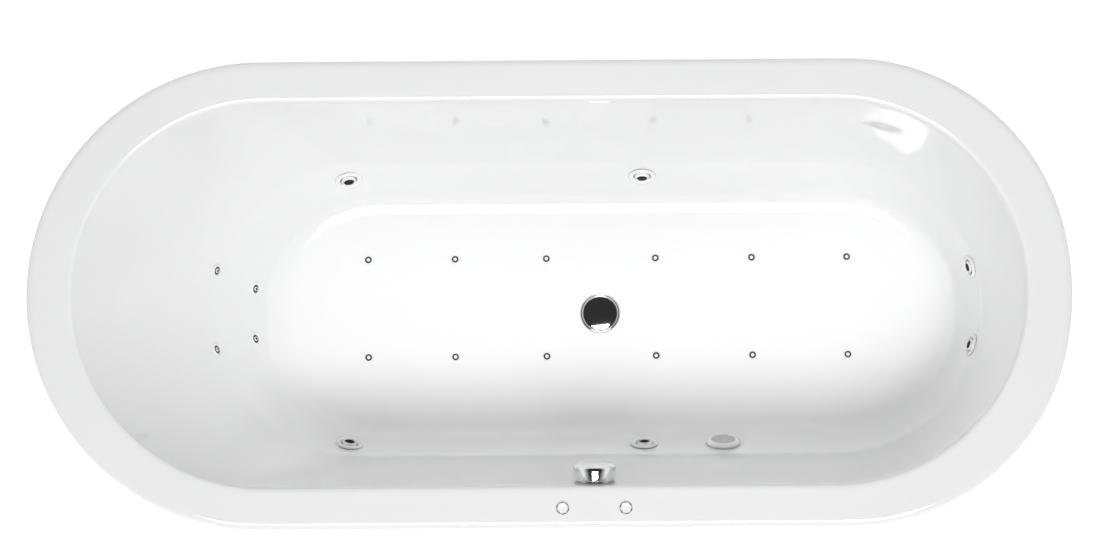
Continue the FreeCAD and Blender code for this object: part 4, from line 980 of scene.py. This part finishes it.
class TUB_OT_buttons(bpy.types.Operator):
    """Two six-sided push buttons with their bezels on the rim."""

    bl_idname = "tub.buttons"
    bl_label = "Rim buttons"

    def execute(self, context):
        bezel = turned([(10.8, -15), (11.5, -15), (11.5, 0.2), (12.5, 0.2, 0.2),
                        (12.4, 1.5, 0.5), (11.8, 2.2, 0.3), (10.8, 2.2, 0.2)], 72)
        fitting("button_rings", repeated(bezel, button_places()), "white", "button_bezels")
        for name, place in zip(("jet", "air"), button_places()):
            cap = placed(prism(6, 0.0105, 0.011), Matrix.Rotation(math.radians(-20), 4, "Z"))
            placed(cap, spot(0, 0, -0.0005))
            top = [f for f in cap.faces if f.normal.z > 0.9]
            bmesh.ops.inset_region(cap, faces=top, thickness=0.0022, depth=0.0016)
            bmesh.ops.inset_region(cap, faces=top, thickness=0.0016, depth=-0.0005)
            edges = [e for e in cap.edges if e.calc_face_angle(0) > 0.35]
            rounded(cap, edges, 0.0003)
            paint(cap, lambda at, way: at.z > 0.0055 and math.hypot(at.x, at.y) < 0.0075)
            stem = turned([(0, -23), (5.5, -23), (5.5, -5), (0, -5)], 32)
            fitting(f"{name}_button_cap", placed(joined([cap, stem]), place), "chrome white",
                    f"{name}_button", sharp=25, body=f"{name}_control")
        return {"FINISHED"}


# ---- frame, machines and pipes --------------------------------------------------------------


def corners(node):
    """Lowest and highest corner of a CAD node."""
    low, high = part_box(node)
    return Vector(low), Vector(high)


def circle(count, radius, height=0.0, start=0.0, skip=0.0):
    """Frames round the Z axis with X outwards, leaving out an arc round the start."""
    turns = [start + 2 * math.pi * (i + 0.5) / count for i in range(count)]
    return [Matrix.Rotation(t, 4, "Z") @ spot(radius, 0, height) for t in turns
            if abs((t - start + math.pi) % (2 * math.pi) - math.pi) >= skip]


def lying(point, axis):
    """A frame at a point with Z along an axis."""
    return frame_on(Vector(point), Vector(axis))


def feet_places():
    """The middle of each foot pad on the ground."""
    low, high = corners("foot_pads")
    rows = (high.y - FOOT_PAD_RADIUS, low.y + FOOT_PAD_RADIUS)
    return [spot(x, y, 0) for x in CRADLES_X for y in rows]


class TUB_OT_feet(bpy.types.Operator):
    """Rubber pads, threaded studs and six-sided lock nuts of the feet."""

    bl_idname = "tub.feet"
    bl_label = "Feet"

    def execute(self, context):
        places = feet_places()
        pad = turned([(0, 0), (24, 0, 0.6), (24, 4.5, 1.6), (21, 6.5, 1), (12.5, 13, 1.5),
                      (11, 14, 0.4), (0, 14)], 56)
        fitting("foot_discs", repeated(pad, places), "rubber", "foot_pads")
        low, high = corners("foot_studs")
        pitch = 1.75
        turns = int((high.z - low.z) * 1000 / pitch)
        base = low.z * 1000
        ridges = [(0, base)]
        for i in range(turns):
            ridges += [(5.1, base + i * pitch), (6, base + (i + 0.5) * pitch)]
        ridges += [(5.1, high.z * 1000), (0, high.z * 1000)]
        fitting("foot_threads", repeated(turned(ridges, 24), places), "steel", "foot_studs",
                sharp=20)
        low, high = corners("foot_lock_nuts")
        nut = hexagon(0.011, high.z - low.z)
        lifted = [place @ spot(0, 0, low.z) for place in places]
        fitting("foot_hex_nuts", repeated(nut, lifted), "steel", "foot_lock_nuts", sharp=25)
        return {"FINISHED"}


def weld(start, end, radius=0.0028):
    """A run of overlapping weld ripples."""
    bm = bmesh.new()
    start, end = Vector(start), Vector(end)
    count = int((end - start).length / (radius * 1.2))
    for i in range(count + 1):
        at = start + (end - start) * (i / count)
        size = radius * (1 + 0.14 * math.sin(i * 2.3 + at.x * 90))
        made = bmesh.ops.create_uvsphere(bm, u_segments=10, v_segments=6, radius=size)
        bmesh.ops.translate(bm, verts=made["verts"], vec=at)
    return bm


class TUB_OT_frame_details(bpy.types.Operator):
    """Weld seams, tube plugs and the bolts that hold the shelf to the rails."""

    bl_idname = "tub.frame_details"
    bl_label = "Frame details"

    def execute(self, context):
        side = TUBE_SIDE
        rail_low = corners("base_board")[0].z - WELD_GAP - side
        beam_low = rail_low - side
        low, high = corners("support_frame")
        seams = []
        for x in CRADLES_X:
            ends = (x - side / 2, x + side / 2)
            for sign in (1, -1):
                y = sign * (high.y - side)
                inner, outer = (sign * (RAILS_Y[0] + step * side / 2) for step in (-1, 1))
                seams.append(((ends[0], y, rail_low), (ends[1], y, rail_low)))
                for end in ends:
                    seams += [((end, y, beam_low), (end, y, rail_low)),
                              ((end, inner, rail_low), (end, outer, rail_low))]
        detail("weld_seams", joined([weld(*seam) for seam in seams]), "steel", "support_frame",
               sharp=60)
        plugs = [block((0.003, side - 0.001, side - 0.001), (x, y, rail_low + side / 2), 0.0012)
                 for x in (low.x - 0.0008, high.x + 0.0008) for y in RAILS_Y]
        detail("tube_plugs", joined(plugs), "black", "support_frame")
        top = corners("equipment_shelf")[1].z
        bolts = [spot(x, y, top) for x in SHELF_BOLTS_X for y in RAILS_Y]
        washer = turned([(0, 0), (9, 0), (9, 1.4, 0.4), (0, 1.4)], 32)
        heads = joined([repeated(washer, bolts), repeated(hexagon(0.0068, 0.0062), bolts)])
        detail("shelf_bolts", heads, "steel", "foot_studs", sharp=25)
        return {"FINISHED"}


class TUB_OT_pump(bpy.types.Operator):
    """The pump's clamp ring and bolts, unions, cooling fins, terminal box and fan grille."""

    bl_idname = "tub.pump"
    bl_label = "Pump details"

    def execute(self, context):
        low, high = corners("pump_motor")
        axis_x, axis_z = (low.x + high.x) / 2, (low.z + high.z) / 2
        face = corners("pump_wet_end")[0].y
        pump = lying((axis_x, face, axis_z), (0, 1, 0))
        ring = turned([(76, 48), (80.5, 48, 1), (80.5, 60, 1), (76, 60)], 96)
        lug = turned([(0, 0), (6, 0, 0.8), (6, 20, 0.8), (0, 20)], 24)
        lugs = repeated(lug, circle(8, CLAMP_RADIUS, 0.044))
        detail("pump_clamp", placed(joined([ring, lugs]), pump), "black", "pump_wet_end")
        heads = repeated(hexagon(0.0052, 0.0045), circle(8, CLAMP_RADIUS, 0.0395))
        detail("pump_bolts", placed(heads, pump), "steel", "foot_studs", sharp=25)
        grip = turned([(20.2, -16), (29, -16, 1.5), (30, 4, 1.5), (26, 7, 1), (20.2, 7)], 64)
        teeth = repeated(block((0.003, 0.0035, 0.016), (0, 0, -0.006), 0.0008),
                         circle(18, 0.0302))
        outlet = turned([(11.2, -15), (17.5, -15, 1), (18.5, 5, 1.2), (11.2, 5)], 48)
        spurs = repeated(block((0.0026, 0.003, 0.014), (0, 0, -0.005), 0.0007),
                         circle(14, 0.0186))
        neck = spot(axis_x, face + 0.052, corners("pump_wet_end")[1].z - 0.004)
        unions = [placed(joined([grip, teeth]), pump), placed(joined([outlet, spurs]), neck)]
        detail("union_nuts", joined(unions), "pvc", "suction_pipe")
        radius = (high.z - low.z) / 2
        start, end = low.y - face + 0.022, high.y - face - 0.01
        fin = block((0.007, 0.0018, end - start), (0.0015, 0, (start + end) / 2), 0.0006)
        fins = repeated(fin, circle(40, radius, 0, -math.pi / 2, 0.95))
        box = block((0.07, 0.03, 0.085), (0, 0, 0), 0.004)
        lid = block((0.074, 0.004, 0.089), (0, 0.0165, 0), 0.0015)
        case = placed(joined([box, lid]), spot(0, radius + 0.008, 0.185))
        placed(case, Matrix.Rotation(math.pi, 4, "Z"))
        detail("motor_fins", placed(joined([fins, case]), pump), "motor", "pump_motor", sharp=35)
        back = corners("pump_fan_cover")[1].y - face
        rings = [turned([(r, -2), (r + 2.6, -2), (r + 2.6, 1.3, 0.5), (r, 1.3, 0.5)], 64)
                 for r in (10, 19, 28, 37, 46)]
        spokes = repeated(block((0.04, 0.003, 0.003), (0, 0, -0.0002), 0.0006),
                          circle(8, 0.03))
        boss = turned([(0, -2), (10, -2), (10, 1.8, 0.8), (0, 1.8)], 32)
        # A dark disc behind the grille rings: painted shade seen through the grille's gaps.
        painted_shade_disc = turned([(0, 0.1), (50, 0.1), (50, 0.4), (0, 0.4)], 64)
        paint_all(painted_shade_disc)
        grille = placed(joined([*rings, spokes, boss, painted_shade_disc]), spot(0, 0, back))
        detail("fan_grille", placed(grille, pump), "black dark", "pump_fan_cover")
        return {"FINISHED"}


class TUB_OT_blower(bpy.types.Operator):
    """Ribs, seam and intake slots of the air blower."""

    bl_idname = "tub.blower"
    bl_label = "Blower details"

    def execute(self, context):
        low, high = corners("air_blower")
        radius = 0.058
        base = spot(low.x + radius, (low.y + high.y) / 2, low.z)
        tall = high.z - low.z
        top = tall * 1000
        seam = turned([(56, 24), (59.4, 24, 0.8), (59.4, 29, 0.8), (56, 29)], 96)
        ribs = repeated(block((0.004, 0.0022, tall - 0.078), (0.0008, 0, 0), 0.0007),
                        circle(32, 0.046, tall * 0.5 + 0.025))
        screws = repeated(hexagon(0.0042, 0.004), circle(6, 0.0535, 0.0505))
        cap = turned([(0, top - 1), (30, top - 1), (30, top + 1.6, 0.6), (26, top + 2.2, 0.6),
                      (0, top + 2.2)], 64)
        # The intake slots are dark blocks in the cap: painted shade for the openings.
        slots = repeated(block((0.015, 0.0022, 0.0012), (0, 0, 0), 0.0003),
                         circle(20, 0.016, tall + 0.0021))
        paint_all(slots)
        whole = placed(joined([seam, ribs, screws, cap, slots]), base)
        detail("blower_ribs", whole, "black dark", "air_blower", sharp=35)
        return {"FINISHED"}


class TUB_OT_control_box(bpy.types.Operator):
    """Lid, screws and cable gland of the control box."""

    bl_idname = "tub.control_box"
    bl_label = "Control box details"

    def execute(self, context):
        low, high = corners("control_box")
        middle = (low + high) / 2
        size = high - low
        lid = block((size.x - 0.004, 0.005, size.z - 0.004),
                    (middle.x, low.y - 0.0015, middle.z), 0.0016)
        panel = block((size.x - 0.03, 0.0016, size.z - 0.03),
                      (middle.x, low.y - 0.0042, middle.z), 0.0006)
        detail("box_lid", joined([lid, panel]), "box", "control_box")
        screw = turned([(0, 0), (3.4, 0), (3.4, 1.2, 0.4), (0, 1.8)], 24)
        places = [lying((middle.x + a * (size.x / 2 - 0.009), low.y - 0.004,
                         middle.z + b * (size.z / 2 - 0.009)), (0, -1, 0))
                  for a in (-1, 1) for b in (-1, 1)]
        detail("box_screws", repeated(screw, places), "steel", "foot_studs")
        low, high = corners("mains_gland")
        at = (low + high) / 2
        collar = placed(hexagon(0.0115, 0.005), spot(at.x, at.y, high.z - 0.0052))
        dome = placed(turned([(4.5, 0), (8.2, 0, 0.8), (10.4, 4, 0.8), (10.4, 9), (4.5, 9)], 12),
                      spot(at.x, at.y, low.z - 0.001))
        detail("gland_nuts", joined([collar, dome]), "grey", "mains_gland", sharp=25)
        return {"FINISHED"}


def hose_clip(radius):
    """A worm-drive band for a hose of that radius in millimetres, about Z."""
    band = turned([(radius, -4), (radius + 0.9, -4, 0.2), (radius + 0.9, 4, 0.2), (radius, 4)],
                  48)
    house = block((0.005, 0.011, 0.0075), (radius / 1000 + 0.0026, 0, 0), 0.001)
    screw = placed(hexagon(0.0029, 0.004), spot(radius / 1000 + 0.0028, 0.0052, 0)
                   @ Matrix.Rotation(-math.pi / 2, 4, "X"))
    return joined([band, house, screw])


class TUB_OT_pipe_fittings(bpy.types.Operator):
    """Solvent sockets at the jets, and hose clips."""

    bl_idname = "tub.pipe_fittings"
    bl_label = "Pipe fittings"

    def execute(self, context):
        socket = turned([(11, -13), (15, -13, 0.8), (15, -10, 0.4), (14.2, -9), (14.2, 9),
                         (15, 10, 0.4), (15, 13, 0.8), (11, 13)], 40)
        sockets = []
        for jets, reach, axis in ((side_jets(), 0.0208, Vector((1, 0, 0))),
                                  (foot_jets(), 0.0188, Vector((0, 1, 0)))):
            for jet in jets:
                for sign in (1, -1):
                    side = axis * (sign * (reach + SOCKET_GAP))
                    middle = jet @ (side + Vector((0, 0, -SOCKET_DEPTH)))
                    sockets.append(frame_on(middle, jet.to_3x3() @ axis))
        detail("pipe_sockets", repeated(socket, sockets), "pvc", "pressure_header")
        low, high = corners("air_blower")
        spout = lying((high.x + 0.008, (low.y + high.y) / 2, low.z + 0.028), (1, 0, 0))
        hose_end = spot(corners("air_supply_hose")[1].x - 0.01, *AIR_HOSE_END)
        waste = lying((sizes().drain_x, *WASTE_PIPE), (0, 1, 0))
        clips = [placed(hose_clip(radius), place) for radius, place in
                 ((10.2, spout), (10.2, hose_end), (14.2, waste))]
        for jet in back_jets():
            barb = jet @ Vector((-0.0285, 0, -0.031))
            way = jet.to_3x3() @ Vector((-1, 0, 0))
            clips.append(placed(hose_clip(5.1), frame_on(barb, way)))
        detail("hose_clips", joined(clips), "steel", "foot_studs", sharp=35)
        return {"FINISHED"}


# ---- studio --------------------------------------------------------------------------------


def lamp(name, place, target, size, power, glossy=True):
    """A rectangular lamp that looks at a target, seen in gloss or not."""
    light = bpy.data.lights.new(name, "AREA")
    light.shape = "RECTANGLE"
    light.size, light.size_y = size
    light.energy = power
    thing = put(name, light)
    thing.location = place
    thing.rotation_mode = "QUATERNION"
    thing.rotation_quaternion = (Vector(target) - Vector(place)).to_track_quat("-Z", "Y")
    thing.visible_glossy = glossy
    return light


def background_rays(tree):
    """One for rays that show the background: from the camera, in gloss and through glass."""
    path = add(tree, "LightPath")
    seen = path.outputs["Is Camera Ray"]
    for kind in ("Is Glossy Ray", "Is Transmission Ray"):
        seen = maths(tree, "MAXIMUM", seen, path.outputs[kind])
    return seen


def floor_material():
    """A pale floor, white to the camera and in reflections, that keeps a soft shadow."""
    material, tree, shader = new_material("studio_floor")
    point = object_point(tree)
    tint = mixed(tree, mapped(tree, noise_value(tree, point, 0.8), 0, 1),
                 shade((0.8,) * 3, 1), shade((0.83,) * 3, 1))
    wired(tree, shader, {"Base Color": tint, "Roughness": 0.9})
    glow = add(tree, "Emission", {"Color": (1, 1, 1, 1), "Strength": 0.75})
    both = add(tree, "AddShader", {0: shader.outputs[0], 1: glow.outputs[0]})
    pick = add(tree, "MixShader",
               {0: background_rays(tree), 1: shader.outputs[0], 2: both.outputs[0]})
    tree.links.new(pick.outputs[0], tree.nodes["Material Output"].inputs["Surface"])
    return material


class TUB_OT_stage(bpy.types.Operator):
    """Floor, lamps, world and camera."""

    bl_idname = "tub.stage"
    bl_label = "Studio"

    def execute(self, context):
        scene = context.scene
        studio = scene.tub_studio
        scene.view_settings.view_transform = "Standard"
        bm = bmesh.new()
        bmesh.ops.create_circle(bm, cap_ends=True, radius=14, segments=96)
        floor = put("studio_floor", mesh_of(bm, "studio_floor"))
        floor.data.materials.append(floor_material())
        world = bpy.data.worlds.new("studio")
        scene.world = world
        world.use_nodes = True
        tree = world.node_tree
        ground = tree.nodes["Background"]
        way = add(tree, "TexCoord").outputs["Generated"]
        height = add(tree, "SeparateXYZ", {0: way}).outputs[2]
        white, grey, ceiling = (shade((level,) * 3, 1) for level in (1, 0.4, 0.035))
        sky = mixed(tree, mapped(tree, height, 0, 1, 0.45, 0.95), grey, ceiling)
        wired(tree, ground, {"Color": sky})
        backdrop = mixed(tree, mapped(tree, height, 0, 1, 0.45, 0.8), white, ceiling)
        seen = add(tree, "Background", {"Color": backdrop, "Strength": 1.0})
        pick = add(tree, "MixShader",
                   {0: background_rays(tree), 1: ground.outputs[0], 2: seen.outputs[0]})
        tree.links.new(pick.outputs[0], tree.nodes["World Output"].inputs["Surface"])
        lamp("key_softbox", (0.3, -3.66, 8.7), (0, 0, 0.5), (4.5, 2.7), 572)
        low = lamp("floor_softbox", (0.11, -0.1, 3.6), (0.11, -0.01, 0.2), (1.05, 0.34), 0.2,
                   glossy=False)
        low.spread = math.radians(14)
        lamp("fill_softbox", (0.0, 1.3, 3.0), (0, 0.1, 0.3), (2.4, 1.0), 12, glossy=False)
        cam = bpy.data.cameras.new("camera")
        cam.lens = studio.lens
        cam.sensor_width = 36
        cam.clip_start, cam.clip_end = 0.1, 60
        eye = put("camera", cam)
        target = Vector((0.00135, 0.023, 0.6))
        away = Vector((0, -math.sin(studio.tilt), math.cos(studio.tilt)))
        right = Vector((1, 0, 0))
        over = away.cross(right)
        turn = Matrix.Rotation(studio.roll, 3, away)
        axes = Matrix((turn @ right, turn @ over, away)).transposed()
        eye.matrix_world = Matrix.Translation(target + away * studio.distance) @ axes.to_4x4()
        scene.camera = eye
        return {"FINISHED"}


class TUB_PT_panel(bpy.types.Panel):
    """Buttons and sizes of the bathtub."""

    bl_idname = "TUB_PT_panel"
    bl_label = "Jetted bathtub"
    bl_space_type = "VIEW_3D"
    bl_region_type = "UI"
    bl_category = "Bathtub"

    def draw(self, context):
        layout = self.layout
        for operator in OPERATORS:
            layout.operator(operator.bl_idname)
        scene = context.scene
        for values in (scene.tub_sizes, scene.tub_colours, scene.tub_studio):
            box = layout.box()
            for name in values.__annotations__:
                box.prop(values, name)


GROUP_CLASSES = (TubSizes, TubColours, StudioSettings)
OPERATORS = (TUB_OT_finishes, TUB_OT_shell, TUB_OT_wall_jets, TUB_OT_nozzles, TUB_OT_back_jets,
             TUB_OT_air_jets, TUB_OT_suction, TUB_OT_drain, TUB_OT_overflow, TUB_OT_buttons,
             TUB_OT_feet, TUB_OT_frame_details, TUB_OT_pump, TUB_OT_blower, TUB_OT_control_box,
             TUB_OT_pipe_fittings, TUB_OT_stage)


def register():
    for kind in (*GROUP_CLASSES, *OPERATORS, TUB_PT_panel):
        bpy.utils.register_class(kind)
    bpy.types.Scene.tub_sizes = bpy.props.PointerProperty(type=TubSizes)
    bpy.types.Scene.tub_colours = bpy.props.PointerProperty(type=TubColours)
    bpy.types.Scene.tub_studio = bpy.props.PointerProperty(type=StudioSettings)


def unregister():
    del bpy.types.Scene.tub_studio, bpy.types.Scene.tub_colours, bpy.types.Scene.tub_sizes
    for kind in (TUB_PT_panel, *reversed(OPERATORS), *reversed(GROUP_CLASSES)):
        bpy.utils.unregister_class(kind)


def main():
    register()
    for operator in OPERATORS:
        name = operator.bl_idname.removeprefix("tub.")
        getattr(bpy.ops.tub, name)()


if __name__ == "__main__":
    main()
